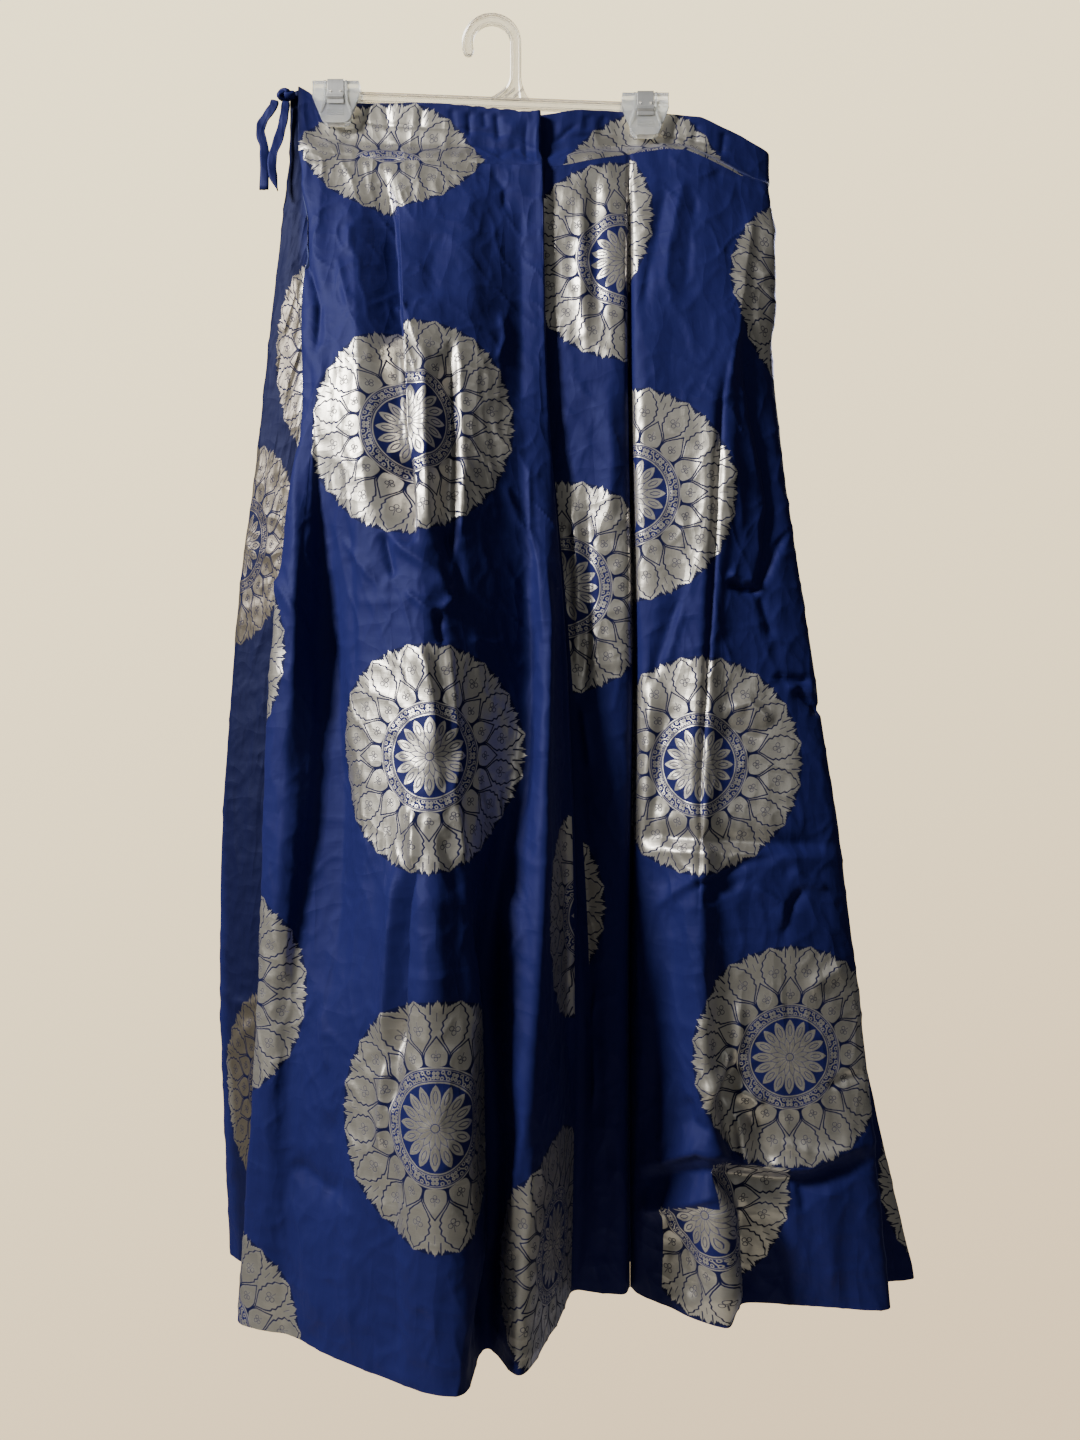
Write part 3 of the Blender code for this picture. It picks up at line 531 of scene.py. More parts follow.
def seen(points: Array) -> Array:
    """Where the camera sees points on the hanger's plane.

    Args:
        points: The points, along the last axis.

    Returns:
        Their x and z in metres.
    """
    camera = np.array(CAMERA_PLACE)
    share = PLANE_AWAY / (points[..., 1] - camera[1])
    return camera[[0, 2]] + (points[..., [0, 2]] - camera[[0, 2]]) * share[..., None]


def side_and_distance(places: Array, path: Array) -> tuple[Array, Array]:
    """How far places lie from a line, and how far along it.

    Args:
        places: Points of a plane, in the last axis.
        path: The line's points.

    Returns:
        The distance, negative on the first side, and the share of the line's length.
    """
    lengths = np.linalg.norm(np.diff(path, axis=0), axis=1)
    starts = np.concatenate([[0.0], np.cumsum(lengths)])
    best = np.full(places.shape[:-1], np.inf)
    signed, along = np.zeros_like(best), np.zeros_like(best)
    reach = path[-1] - path[0]
    flat = abs(reach[0]) > abs(reach[1])
    turn = -np.sign(reach[0]) if flat else -np.sign(reach[1])
    for k, length in enumerate(lengths):
        way = (path[k + 1] - path[k]) / length
        to = places - path[k]
        t = to @ way
        held = np.clip(t, 0.0, length)
        gap = np.linalg.norm(to - held[..., None] * way, axis=-1)
        cross = (way[0] * to[..., 1] - way[1] * to[..., 0]) * turn
        # past the line's ends, the true place along it tells how far
        past = ((k == 0) & (t < 0)) | ((k == len(lengths) - 1) & (t > length))
        nearer = gap < best
        best = np.where(nearer, gap, best)
        signed = np.where(nearer, gap * np.sign(cross), signed)
        along = np.where(nearer, starts[k] + np.where(past, t, held), along)
    return signed, along / starts[-1]


def pressed(places: Array, crease: Crease) -> Array:
    """How far a crease lifts the cloth.

    Args:
        places: The cloth's places, as the crease's path is laid out.
        crease: The crease.

    Returns:
        The lift at each place, in metres.
    """
    signed, along = side_and_distance(places, np.array(crease.path).reshape(-1, 2) * MM)
    away = np.abs(signed) / (np.where(signed < 0, crease.first_width, crease.second_width) * MM)
    if crease.faceted:
        rounded = smooth_step(-ROUND_PAST, 1 + ROUND_PAST, 1 - away)
        across = ROUNDED * rounded + (1 - ROUNDED) * np.clip(1 - away, 0, 1)
    else:
        across = np.exp(-away ** BELL_POWER)
    ends = smooth_step(*CREASE_END, along) * smooth_step(*CREASE_END, 1 - along)
    return crease.height * MM * across * ends


@dataclass
class Cloth:
    """The one grid of points that all the pieces of cloth are cut from."""

    front_column: float = 2.5 * MM       # widest column of the front at the knee and hem
    back_column: float = 5.2 * MM
    band_rows: int = 34
    skirt_rows: int = 350
    strip_fullness: float = 1.7          # how much more cloth the left strip holds than is seen
    wrinkle: float = 1.0 * MM
    crumple: float = 0.75                # share of the wrinkle that is small sharp ridges
    side_reach: int = 14                 # the gore's creases reach this many columns past its seam
    fade_columns: int = 6                # from a held fold to the freely hanging cloth
    hidden_freedom: float = 0.12         # how freely the cloth of the hidden folds moves
    seam_freedom: float = 0.08           # and that beside the waist seam
    seam_fade: float = 10.0 * MM
    starts: dict = field(init=False)             # the column of each fold
    counts: list = field(init=False)             # how many columns lie between each two folds
    levels: Array = field(init=False)       # the level of each row
    base: Array = field(init=False)         # the points before the creases are pressed
    points: Array = field(init=False)
    outward: Array = field(init=False)
    across: Array = field(init=False)       # the length along each row, in metres
    down: Array = field(init=False)         # and down each column

    def __post_init__(self) -> None:
        """Lay out the grid, measure the cloth and press the creases."""
        widths = np.maximum.reduce([np.linalg.norm(np.diff(folds_at(level), axis=0), axis=1)
                                    for level in (HIP, THIGH, KNEE, HEM)])
        turn = FOLD_NAMES.index("back's right edge")
        steps = np.where(np.arange(len(widths)) < turn, self.front_column, self.back_column)
        self.counts = [2 * max(2, math.ceil(width / step / 2)) for width, step in zip(widths, steps)]
        self.starts = dict(zip(FOLD_NAMES, np.concatenate([[0], np.cumsum(self.counts)]).tolist()))
        self.levels = np.concatenate([np.linspace(0, 1, self.band_rows + 1), self.skirt_levels()])
        rows = []
        for level in self.levels:
            seam_x = smooth_line(folds_at(min(level, SEAM)), self.counts)[:, 0]
            rows.append(np.column_stack([smooth_line(folds_at(level), self.counts),
                                         heights(seam_x, level)]))
        self.base = np.array(rows)
        self.base[..., 2] += self.scallop()
        self.measure()
        self.points = self.base + self.normals(self.base) * self.lift()[..., None]
        self.outward = self.normals(self.points)

    def scallop(self) -> Array:
        """How far the gathers move the casing's top edge up, in metres.

        Returns:
            The rise of each point.
        """
        x = self.base[..., 0] / MM
        wave = np.abs(np.sin(math.pi * (x + 33) / 14.5 + 0.5 * np.sin(x / 9))) ** 0.7
        near = np.clip(1 - np.abs(x) / 34, 0, 1) ** 0.5
        elsewhere = 0.35 * np.sin(x / 6.1) * np.sin(x / 17.3)
        fade = np.clip(1 - self.levels / 0.22, 0, 1) ** 1.5
        return (-(1 - wave) * 1.7 * near + elsewhere) * MM * fade[:, None]

    def skirt_levels(self) -> Array:
        """The skirt's rows, evenly spaced in height, from just under the waistband to the hem."""
        low_first = -np.array(LEVEL_HEIGHTS[SEAM:])
        rows = np.linspace(low_first[0] + WAIST_GAP, low_first[-1], self.skirt_rows + 1)
        return np.interp(rows, low_first, range(SEAM, HEM + 1))

    def normals(self, grid: Array) -> Array:
        """The direction out of the cloth.

        Args:
            grid: The cloth's points.

        Returns:
            A unit vector at every point.
        """
        across = np.gradient(grid, axis=1)
        down = np.gradient(grid, axis=0)
        # the band's last row and the skirt's first lie together
        seam = self.band_rows
        down[seam] = down[seam - 1]
        down[seam + 1] = down[seam + 2]
        return unit(-np.cross(across, down))

    def measure(self) -> None:
        """Store the lengths along every row and down every column, in metres."""
        steps = np.linalg.norm(np.diff(self.base, axis=1), axis=-1)
        # the strip beside the side opening lies in small folds that are only drawn, not bent
        steps[:, self.starts["back's left edge"]:] *= self.strip_fullness
        self.across = np.pad(np.cumsum(steps, axis=1), ((0, 0), (1, 0)))
        steps = np.linalg.norm(np.diff(self.base, axis=0), axis=-1)
        self.down = np.pad(np.cumsum(steps, axis=0), ((1, 0), (0, 0)))

    def lift(self) -> Array:
        """How far each point stands out of the smooth cloth, in metres.

        Returns:
            The lift of each point.
        """
        front_end, side = self.starts["slot's seam"], self.starts["right side seam"]
        on_plane, flat = seen(self.base), self.base[..., [0, 2]]
        every, band = slice(None), slice(0, self.band_rows + 1)
        rise = np.zeros(self.base.shape[:2])
        for creases, places, rows, columns in (
                (FRONT_CREASES, on_plane, every, slice(0, front_end + 1)),
                (GORE_CREASES, on_plane, every, slice(front_end, side + self.side_reach + 1)),
                (BAND_CREASES, on_plane, band, slice(0, side)),
                (BACK_CREASES, flat, every, slice(side, None))):
            for crease in creases:
                rise[rows, columns] += pressed(places[rows, columns], crease)
        return (rise + self.wrinkles()) * self.freedom()

    def freedom(self) -> Array:
        """How freely each point may move: not at the seams, the hidden folds and the clips.

        Returns:
            1 for a free point, less for one that is held.
        """
        columns = np.arange(self.base.shape[1])
        free = np.ones(len(columns))
        for first, last in (("pleat's edge, front", "middle strip's left"),
                            ("slot's left lip", "slot's right lip")):
            begin, end = self.starts[first], self.starts[last]
            near = np.minimum(np.abs(columns - begin), np.abs(columns - end))
            near[(columns >= begin) & (columns <= end)] = 0
            rising = smooth_step(0, self.fade_columns, near)
            free = np.minimum(free, self.hidden_freedom + (1 - self.hidden_freedom) * rising)
        ends = np.minimum(columns, columns[-1] - columns)
        free = np.minimum(free, smooth_step(-2, self.fade_columns, ends))
        # the waistband and the skirt stay together along their seam
        middle = self.down[:, len(columns) // 4]
        away = np.abs(middle - middle[self.band_rows])
        rows = self.seam_freedom + (1 - self.seam_freedom) * smooth_step(0.0, self.seam_fade, away)
        return rows[:, None] * free[None, :]

    def wrinkles(self) -> Array:
        """Small uneven drape over the whole cloth, longer down than across, in metres.

        Returns:
            The rise of each point.
        """
        rise = np.zeros(self.base.shape[:2])
        hang = smooth_step(0.0, 0.06, self.down)
        for spot in np.ndindex(rise.shape):
            x, y, z = self.base[spot]
            broad = noise.noise(Vector((x * 22, y * 22, z * 5.5 + 3.1)))
            fine = noise.noise(Vector((x * 60 + 7.7, y * 60, z * 26)))
            # sharp little ridges that run slantwise, as in silk that was folded away
            slant = noise.noise(Vector((x * 46 + z * 17, y * 46 + 1.7, z * 21 - x * 13)))
            cross = noise.noise(Vector((x * 31 - z * 12 + 4.4, y * 31, z * 33 + x * 9)))
            ridge = (1 - min(1.0, 3.2 * abs(slant))) ** 2 + 0.8 * (1 - min(1.0, 3.6 * abs(cross))) ** 2
            rise[spot] = broad + 0.30 * fine + self.crumple * ridge
        return rise * self.wrinkle * (0.35 + 0.65 * hang)


REACH = 1.1                      # a drawn outline reaches this far along
RISE = 5.0                       # and is drawn this much taller than it is


class Field:
    """A value that a material works out at every point. It takes the signs of arithmetic."""

    def __init__(self, tree: Tree, socket: Socket) -> None:
        """Keep the socket that gives the value."""
        self.tree = tree
        self.socket = socket

    def math(self, operation: str, *others: "Field | float") -> "Field":
        """This value and others through a Math node."""
        node = new_node(self.tree, "Math", dict(enumerate((self, *others))))
        node.operation = operation
        return Field(self.tree, node.outputs[0])

    def __add__(self, other: "Field | float") -> "Field":
        """Sum."""
        return self.math("ADD", other)

    def __sub__(self, other: "Field | float") -> "Field":
        """Difference."""
        return self.math("SUBTRACT", other)

    def __mul__(self, other: "Field | float") -> "Field":
        """Product."""
        return self.math("MULTIPLY", other)

    def size(self) -> "Field":
        """The value without its sign."""
        return self.math("ABSOLUTE")

    def reach(self, other: "Field") -> "Field":
        """How far a point lies that is this value and another one away along two axes."""
        return (self * self + other * other).math("SQRT")

    def highest(self, *others: "Field | float") -> "Field":
        """The largest of several values."""
        best = self
        for other in others:
            best = best.math("MAXIMUM", other)
        return best

    def inverse(self) -> "Field":
        """One minus the value."""
        node = new_node(self.tree, "Math", {0: 1.0, 1: self})
        node.operation = "SUBTRACT"
        return Field(self.tree, node.outputs[0])

    def below(self, edge: float, soft: float = 0.004) -> "Field":
        """1 where the value is under an edge, 0 where it's over it."""
        node = new_node(self.tree, "MapRange", {"Value": self, "From Min": edge - soft,
                                                "From Max": edge + soft, "To Min": 1.0, "To Max": 0.0})
        node.interpolation_type = "SMOOTHSTEP"
        return Field(self.tree, node.outputs["Result"])

    def above(self, edge: float, soft: float = 0.004) -> "Field":
        """1 where the value is over an edge, 0 where it's under it."""
        return self.below(edge, soft).inverse()

    def near(self, place: float, half: float, soft: float = 0.003) -> "Field":
        """1 where the value is within half a width of a place."""
        return (self - place).size().below(half, soft)

    def outline(self, points: Sequence[tuple[float, float]], sharp: bool = False) -> "Field":
        """The height of a drawn outline at this value.

        Args:
            points: The outline's points, each within 0 to 1 along and 0 to 0.2 high.
            sharp: Whether straight runs join the points.

        Returns:
            The height at each point, 0 outside the outline's ends.
        """
        node = new_node(self.tree, "FloatCurve", {"Value": self * (1 / REACH)})
        curve = node.mapping.curves[0]
        curve.points[0].location = (0.0, 0.0)
        curve.points[1].location = (1.0, 0.0)
        for along, high in points:
            curve.points.new(along / REACH, high * RISE)
        for point in curve.points:
            point.handle_type = "VECTOR" if sharp or point.location[1] <= 0 else "AUTO"
        node.mapping.update()
        return Field(self.tree, node.outputs["Value"]) * (1 / RISE)


def fill(tree: Tree, node: bpy.types.Node, inputs: dict) -> None:
    """Set a node's inputs: fields and sockets are joined, anything else is stored."""
    for name, value in inputs.items():
        if isinstance(value, Field):
            value = value.socket
        if isinstance(value, Socket):
            tree.links.new(value, node.inputs[name])
        else:
            node.inputs[name].default_value = value


def new_node(tree: Tree, kind: str, inputs: dict) -> bpy.types.Node:
    """A new shader node of a kind, with its inputs set."""
    node = tree.nodes.new("ShaderNode" + kind)
    fill(tree, node, inputs)
    return node


def uv_of(tree: Tree, name: str) -> Socket:
    """The coordinates of a piece's own map."""
    node = new_node(tree, "UVMap", {})
    node.uv_map = name
    return node.outputs["UV"]


def object_place(tree: Tree) -> Socket:
    """The place on the object."""
    return new_node(tree, "TexCoord", {}).outputs["Object"]


def split(tree: Tree, vector: Socket) -> tuple[Field, Field, Field]:
    """The three parts of a vector."""
    node = new_node(tree, "SeparateXYZ", {"Vector": vector})
    return tuple(Field(tree, node.outputs[name]) for name in "XYZ")


def picked(tree: Tree, share: Field, low: Sequence[float] | Field, high: Sequence[float] | Field) -> Field:
    """A colour that goes from one to another.

    Args:
        tree: The material's nodes.
        share: 0 for the first colour, 1 for the second.
        low: The first colour.
        high: The second colour.

    Returns:
        The mixed colour.
    """
    node = new_node(tree, "Mix", {})
    node.data_type = "RGBA"
    tree.links.new(share.socket, node.inputs["Factor"])
    for name, colour in (("A", low), ("B", high)):
        spot = next(item for item in node.inputs if item.name == name and item.type == "RGBA")
        if isinstance(colour, Field):
            tree.links.new(colour.socket, spot)
        else:
            spot.default_value = (*colour, 1.0)
    return Field(tree, next(item for item in node.outputs if item.type == "RGBA"))


def speckle(tree: Tree, vector: Socket, scale: Sequence[float], detail: float = 2.0) -> Field:
    """Noise from 0 to 1 with its own scale on each axis."""
    mapping = new_node(tree, "Mapping", {"Scale": scale, "Vector": vector})
    node = new_node(tree, "TexNoise", {"Scale": 1.0, "Detail": detail, "Vector": mapping.outputs["Vector"]})
    return Field(tree, node.outputs["Fac"])


def bumped(tree: Tree, height: Field, strength: float, distance: float, under: Field | None = None) -> None:
    """Join a height to the shader's normal.

    Args:
        tree: The material's nodes.
        height: The height, from 0 to 1.
        strength: Strength of the bump.
        distance: Depth of the bump in metres.
        under: A coarser height, from 0 to 1, that is COARSE_DEPTH deep.
    """
    inputs = {"Strength": strength, "Distance": distance, "Height": height}
    if under is not None:
        coarse = new_node(tree, "Bump", {"Strength": 1.0, "Distance": COARSE_DEPTH, "Height": under})
        inputs["Normal"] = coarse.outputs["Normal"]
    node = new_node(tree, "Bump", inputs)
    fill(tree, tree.nodes["Principled BSDF"], {"Normal": node.outputs["Normal"]})


def fresh(name: str) -> tuple[Material, Tree, bpy.types.Node]:
    """A new material with its nodes and its shader."""
    made = bpy.data.materials.new(name)
    made.use_nodes = True
    return made, made.node_tree, made.node_tree.nodes["Principled BSDF"]


@dataclass(frozen=True)
class Medallion:
    """The woven medallion, drawn round its centre in shares of its radius.

    A rosette of sixteen petals stands in a ring of small flowers, with sixteen heart-shaped leaves
    round it and serrated leaves between them out to the edge.
    """

    spokes: int = 16
    line: float = 0.0062
    petal: tuple = ((0.06, 0.010), (0.14, 0.026), (0.20, 0.037), (0.25, 0.042), (0.30, 0.028), (0.338, 0.0))
    teardrop: tuple = ((0.185, 0.0), (0.21, 0.011), (0.245, 0.018), (0.275, 0.011), (0.295, 0.0))
    inner_petal: tuple = ((0.03, 0.004), (0.08, 0.013), (0.115, 0.018), (0.145, 0.011), (0.165, 0.0))
    heart: tuple = ((0.474, 0.0), (0.482, 0.062), (0.51, 0.094), (0.56, 0.100), (0.61, 0.078),
                    (0.66, 0.040), (0.712, 0.0))
    leaf: tuple = ((0.585, 0.0), (0.63, 0.036), (0.68, 0.078), (0.74, 0.108), (0.80, 0.116),
                   (0.86, 0.100), (0.92, 0.062), (0.965, 0.020), (0.99, 0.0))
    # how far the rim lies inside the radius, from a sprig's axis to the tip of a leaf
    rim: tuple = ((0.0, 0.0), (0.04, 0.022), (0.07, 0.018), (0.13, 0.040), (0.17, 0.058), (0.21, 0.034),
                  (0.25, 0.042), (0.29, 0.012), (0.33, 0.036), (0.37, 0.034), (0.43, 0.066),
                  (0.48, 0.048), (0.53, 0.054), (0.60, 0.036), (0.65, 0.042), (0.73, 0.026),
                  (0.78, 0.030), (0.87, 0.014), (0.91, 0.016), (1.0, 0.0))
    petal_end: float = 0.342
    inner_end: float = 0.17
    hub: float = 0.034
    ring_middle: float = 0.411
    ring_lines: tuple = (0.356, 0.469)       # the two broad lines that hold the ring
    fine_lines: tuple = (0.372, 0.453)       # and the fine ones inside them
    leaves_from: float = 0.472
    gap_end: float = 0.505                   # blue ground shows up to here between the hearts
    heart_end: float = 0.71
    heart_clover: tuple = (0.555, 0.021)     # place and size of the clovers on the leaves
    leaf_clover: tuple = (0.765, 0.026)
    teeth: tuple = (17.0, 0.030, 0.72)       # how many a radius, how deep, and from where

    def silver(self, tree: Tree) -> tuple[Field, Field]:
        """Draw the medallion.

        Args:
            tree: The material's nodes.

        Returns:
            1 on the silver weft and 0 on the blue ground, and 1 among the leaves, where the ground
            shows as thin dark lines.
        """
        x, y, _ = split(tree, uv_of(tree, MOTIF_UV))
        radius = x.reach(y)
        turn = y.math("ARCTAN2", x) * (self.spokes / math.tau)
        from_axis = (turn + 0.5).math("FRACT") - 0.5
        arc = radius * (math.tau / self.spokes)
        on_axis = from_axis.size() * arc
        between = (from_axis.size() * -1.0 + 0.5) * arc
        signed = (turn.math("FRACT") - 0.5) * arc
        whole = self.rosette(radius, on_axis, between).highest(
            self.ring(radius, on_axis, signed),
            self.leaves(radius, on_axis, between, from_axis.size() * 2.0))
        return whole, radius.above(0.478) * radius.below(0.985)

    def loops(self, radius: Field, off: Field, place: float, size: float) -> Field:
        """1 on the thin outline of three loops, like a clover."""
        radial = radius - place
        half = self.line * 0.5
        lone = (radial + size * 0.9).reach(off).near(size * 0.72, half)
        pair = (radial - size * 0.35).reach(off - size * 1.05).near(size * 0.72, half)
        stem = off.below(half) * radial.above(size * 0.2) * radial.below(size * 2.6)
        return lone.highest(pair, stem)

    def rosette(self, radius: Field, on_axis: Field, between: Field) -> Field:
        """The petals at the centre."""
        petal = (radius.outline(self.petal) - on_axis).above(0.002) * radius.below(self.petal_end)
        drop = radius.outline(self.teardrop)
        eye = (on_axis - drop).size().below(0.0042) * drop.above(0.002)
        inner = radius.outline(self.inner_petal) - between
        rim = inner.above(-0.007) * radius.below(self.inner_end + 0.006)
        outer = petal * eye.inverse() * rim.inverse()
        inside = inner.above(0.0) * radius.below(self.inner_end)
        return outer.highest(inside, radius.below(self.hub - 0.002)) * radius.near(self.hub, 0.004).inverse()

    def ring(self, radius: Field, on_axis: Field, signed: Field) -> Field:
        """The ring of small flowers and scrolls between two pairs of lines."""
        slope = radius - self.ring_middle
        high = slope.size()
        low_line, high_line = (radius.near(place, 0.0052) for place in self.ring_lines)
        low_fine, high_fine = (radius.near(place, 0.0022) for place in self.fine_lines)
        lobe = (high - 0.0155).reach(on_axis - 0.0155)
        flower = lobe.near(0.0105, 0.0045).highest(lobe.below(0.004))
        stroke = (signed - slope * 0.9).size().below(0.0075)
        leafed = (signed + slope * 1.3).size().below(0.034)
        curl = (signed.size() - 0.026).reach(high - 0.024).near(0.012, 0.004)
        scroll = (stroke * leafed).highest(curl) * signed.size().below(0.047)
        band = radius.above(0.376) * radius.below(0.449)
        return low_line.highest(high_line, low_fine.highest(high_fine) * 0.7, flower.highest(scroll) * band)

    def leaves(self, radius: Field, on_axis: Field, between: Field, share: Field) -> Field:
        """The heart-shaped leaves and the serrated leaves round them, out to the toothed rim."""
        often, deep, start = self.teeth
        teeth = (radius * often).math("PINGPONG", 0.5) * deep * radius.above(start, 0.02)
        heart_edge = radius.outline(self.heart) - on_axis
        leaf_edge = radius.outline(self.leaf) - between - teeth
        in_heart = heart_edge.above(0.0) * radius.below(self.heart_end)
        in_leaf = leaf_edge.above(0.0) * in_heart.inverse()
        rim = share.outline(self.rim, sharp=True)
        whole = (radius + rim).below(1.0, 0.006) * radius.above(self.leaves_from)
        gap = radius.below(self.gap_end) * in_heart.inverse()
        half = self.line * 1.3
        heart_line = heart_edge.size().below(half) * radius.below(self.heart_end + 0.01)
        leaf_line = leaf_edge.size().below(half) * in_heart.inverse()
        tips = (on_axis - 0.048).size().below(half * 0.8) * radius.above(0.885) * in_leaf.inverse()
        heart_clovers = self.loops(radius, on_axis, *self.heart_clover) * in_heart
        leaf_clovers = self.loops(radius, between, *self.leaf_clover) * in_leaf
        vein = on_axis.below(half * 0.45) * radius.above(0.83) * radius.below(0.90)
        return whole * heart_line.highest(leaf_line, heart_clovers, leaf_clovers, vein, tips, gap).inverse()


@dataclass(frozen=True)
class Brocade:
    """Blue satin silk with the medallions woven in silver thread."""

    blue: tuple = (0.0075, 0.0088, 0.068)
    lit_blue: tuple = (0.0150, 0.0175, 0.118)
    silver: tuple = (0.69, 0.66, 0.59)
    worn_silver: tuple = (0.49, 0.46, 0.40)
    # painted shade: the dark brown that the silver turns on the strip beside the side opening
    painted_shade_silver: tuple = (0.075, 0.056, 0.030)
    # darker blue of the ground among the leaves, and painted shade on the strip beside the side opening
    leaf_ground_and_shade_blue: tuple = (0.004, 0.005, 0.030)
    reverse_blue: tuple = ((0.010, 0.018, 0.10), (0.022, 0.038, 0.17))
    floats: tuple = (0.40, 0.38, 0.36)
    shade: float = 0.85              # how much painted shade darkens the strip beside the side opening
    # the fine creases: how many in a metre each way, and how much each kind counts
    crease_kinds: tuple = (((30, 11, 1), 0.60), ((17, 34, 1), 0.30), ((70, 40, 1), 0.10))

    def face(self, name: str, motif: bool = True) -> Material:
        """The right side of the cloth.

        Args:
            name: Name of the material.
            motif: Whether the medallions are woven in.

        Returns:
            The material.
        """
        made, tree, shader = fresh(name)
        cloth = uv_of(tree, CLOTH_UV)
        patches = speckle(tree, cloth, (14, 6, 1), 3.0)
        slubs = speckle(tree, cloth, (900, 40, 1))
        weft = speckle(tree, cloth, (60, 1400, 1))
        ground = picked(tree, patches * 0.7 + slubs * 0.3, self.blue, self.lit_blue)
        fill(tree, shader, {"IOR": 1.5, "Specular IOR Level": 0.26,
                            "Specular Tint": (0.46, 0.52, 1.0, 1.0), "Sheen Weight": 0.07,
                            "Sheen Roughness": 0.35, "Sheen Tint": (0.36, 0.42, 0.90, 1.0)})
        height = slubs * 0.5 + weft * 0.5
        creases = self.creases(tree, cloth)
        if not motif:
            fill(tree, shader, {"Base Color": ground, "Roughness": weft * 0.08 + 0.56})
            bumped(tree, height, 0.30, 0.00030, creases)
            return made
        # painted shade: the strip beside the side opening gets darker silver, darker blue and less metal
        shade = self.painted_shade_mask(tree)
        silver, among_leaves = Medallion().silver(tree)
        ground = picked(tree, among_leaves * 0.75, ground, self.leaf_ground_and_shade_blue)
        threads = picked(tree, weft * 0.5 + patches * 0.5, self.worn_silver, self.silver)
        threads = picked(tree, shade, threads, self.painted_shade_silver)
        ground = picked(tree, shade, ground, self.leaf_ground_and_shade_blue)
        fill(tree, shader, {"Base Color": picked(tree, silver, ground, threads),
                            "Metallic": silver * 0.84 - shade * 0.4,
                            "Roughness": silver * -0.22 + 0.60 + weft * 0.06})
        bumped(tree, height * 0.6 + silver * 0.4, 0.35, 0.00035, creases)
        return made

    def creases(self, tree: Tree, cloth: Socket) -> Field:
        """The fine sharp creases of silk that was folded away, as a height from 0 to 1."""
        ridges = [((speckle(tree, cloth, scale, 1.5) - 0.5).size() * -7.0 + 1.0).highest(0.0) * weight
                  for scale, weight in self.crease_kinds]
        return ridges[0] + ridges[1] + ridges[2]

    def painted_shade_mask(self, tree: Tree) -> Field:
        """1 on the strip that lies folded back beside the side opening, where shade is painted into the
        colour.
        """
        x, y, _ = split(tree, object_place(tree))
        return x.below(-0.165, 0.004) * y.above(-0.030, 0.008) * y.below(0.016, 0.005) * self.shade

    def reverse(self, name: str) -> Material:
        """The inner side, where the silver floats show round the medallions' lines."""
        made, tree, shader = fresh(name)
        silver, _ = Medallion().silver(tree)
        weft = speckle(tree, uv_of(tree, CLOTH_UV), (60, 900, 1))
        ground = picked(tree, weft, *self.reverse_blue)
        fill(tree, shader, {"Base Color": picked(tree, silver * 0.55, ground, self.floats),
                            "Roughness": 0.7, "Sheen Weight": 0.1})
        bumped(tree, weft, 0.3, 0.0003)
        return made


@dataclass(frozen=True)
class ClearPlastic:
    """Clear moulded plastic, a little cloudy and scratched."""

    tint: tuple = (0.82, 0.82, 0.83)
    cloud: float = 0.82              # share of the light that goes through

    def make(self, name: str, milk: float = 0.0) -> Material:
        """The plastic.

        Args:
            name: Name of the material.
            milk: How much less light goes through than usual.

        Returns:
            The material.
        """
        made, tree, shader = fresh(name)
        place = object_place(tree)
        haze = speckle(tree, place, (90, 90, 40), 3.0)
        scratch = speckle(tree, place, (1500, 300, 200), 1.0)
        fill(tree, shader, {
            "Base Color": picked(tree, haze, tuple(0.93 * part for part in self.tint), self.tint),
            "Transmission Weight": self.cloud - milk, "IOR": 1.46, "Roughness": haze * 0.12 + 0.14})
        bumped(tree, scratch * 0.4 + haze * 0.6, 0.12, 0.0003)
        return made


@dataclass(frozen=True)
class SpringSteel:
    """Bright nickelled spring steel with fine rolling marks."""

    colour: tuple = (0.86, 0.86, 0.85)

    def make(self, name: str) -> Material:
        """The steel."""
        made, tree, shader = fresh(name)
        brush = speckle(tree, object_place(tree), (2600, 300, 120))
        fill(tree, shader, {
            "Base Color": picked(tree, brush, tuple(0.8 * part for part in self.colour), self.colour),
            "Metallic": 0.75, "Roughness": brush * 0.16 + 0.36})
        bumped(tree, brush, 0.10, 0.0002)
        return made


def object_from(tool: BMesh, name: str, *finishes: Material) -> Piece:
    """Turn a bmesh into a piece of the scene.

    Args:
        tool: The bmesh, which is freed.
        name: Name of the piece.
        finishes: Its materials, in the order of its slots.

    Returns:
        The object, with its place in its mesh.
    """
    mesh = bpy.data.meshes.new(name)
    tool.to_mesh(mesh)
    tool.free()
    made = bpy.data.objects.new(name, mesh)
    bpy.context.scene.collection.objects.link(made)
    for finish in finishes:
        mesh.materials.append(finish)
    return made


def settle(piece: Piece, material_slot: str, *nodes: str) -> None:
    """Ride a piece on the body, hide the CAD nodes that it stands for and log its faces.

    Args:
        piece: The piece.
        material_slot: Not used.
        nodes: The nodes.
    """
    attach(piece, BODY)
    if nodes:
        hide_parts(*nodes)
    LOG.info("%s: %d faces", piece.name, len(piece.data.polygons))


class ClothPiece(NamedTuple):
    """A piece cut out of the cloth: the two folds that it lies between and its medallions' group."""

    name: str
    first: str
    last: str
    group: str


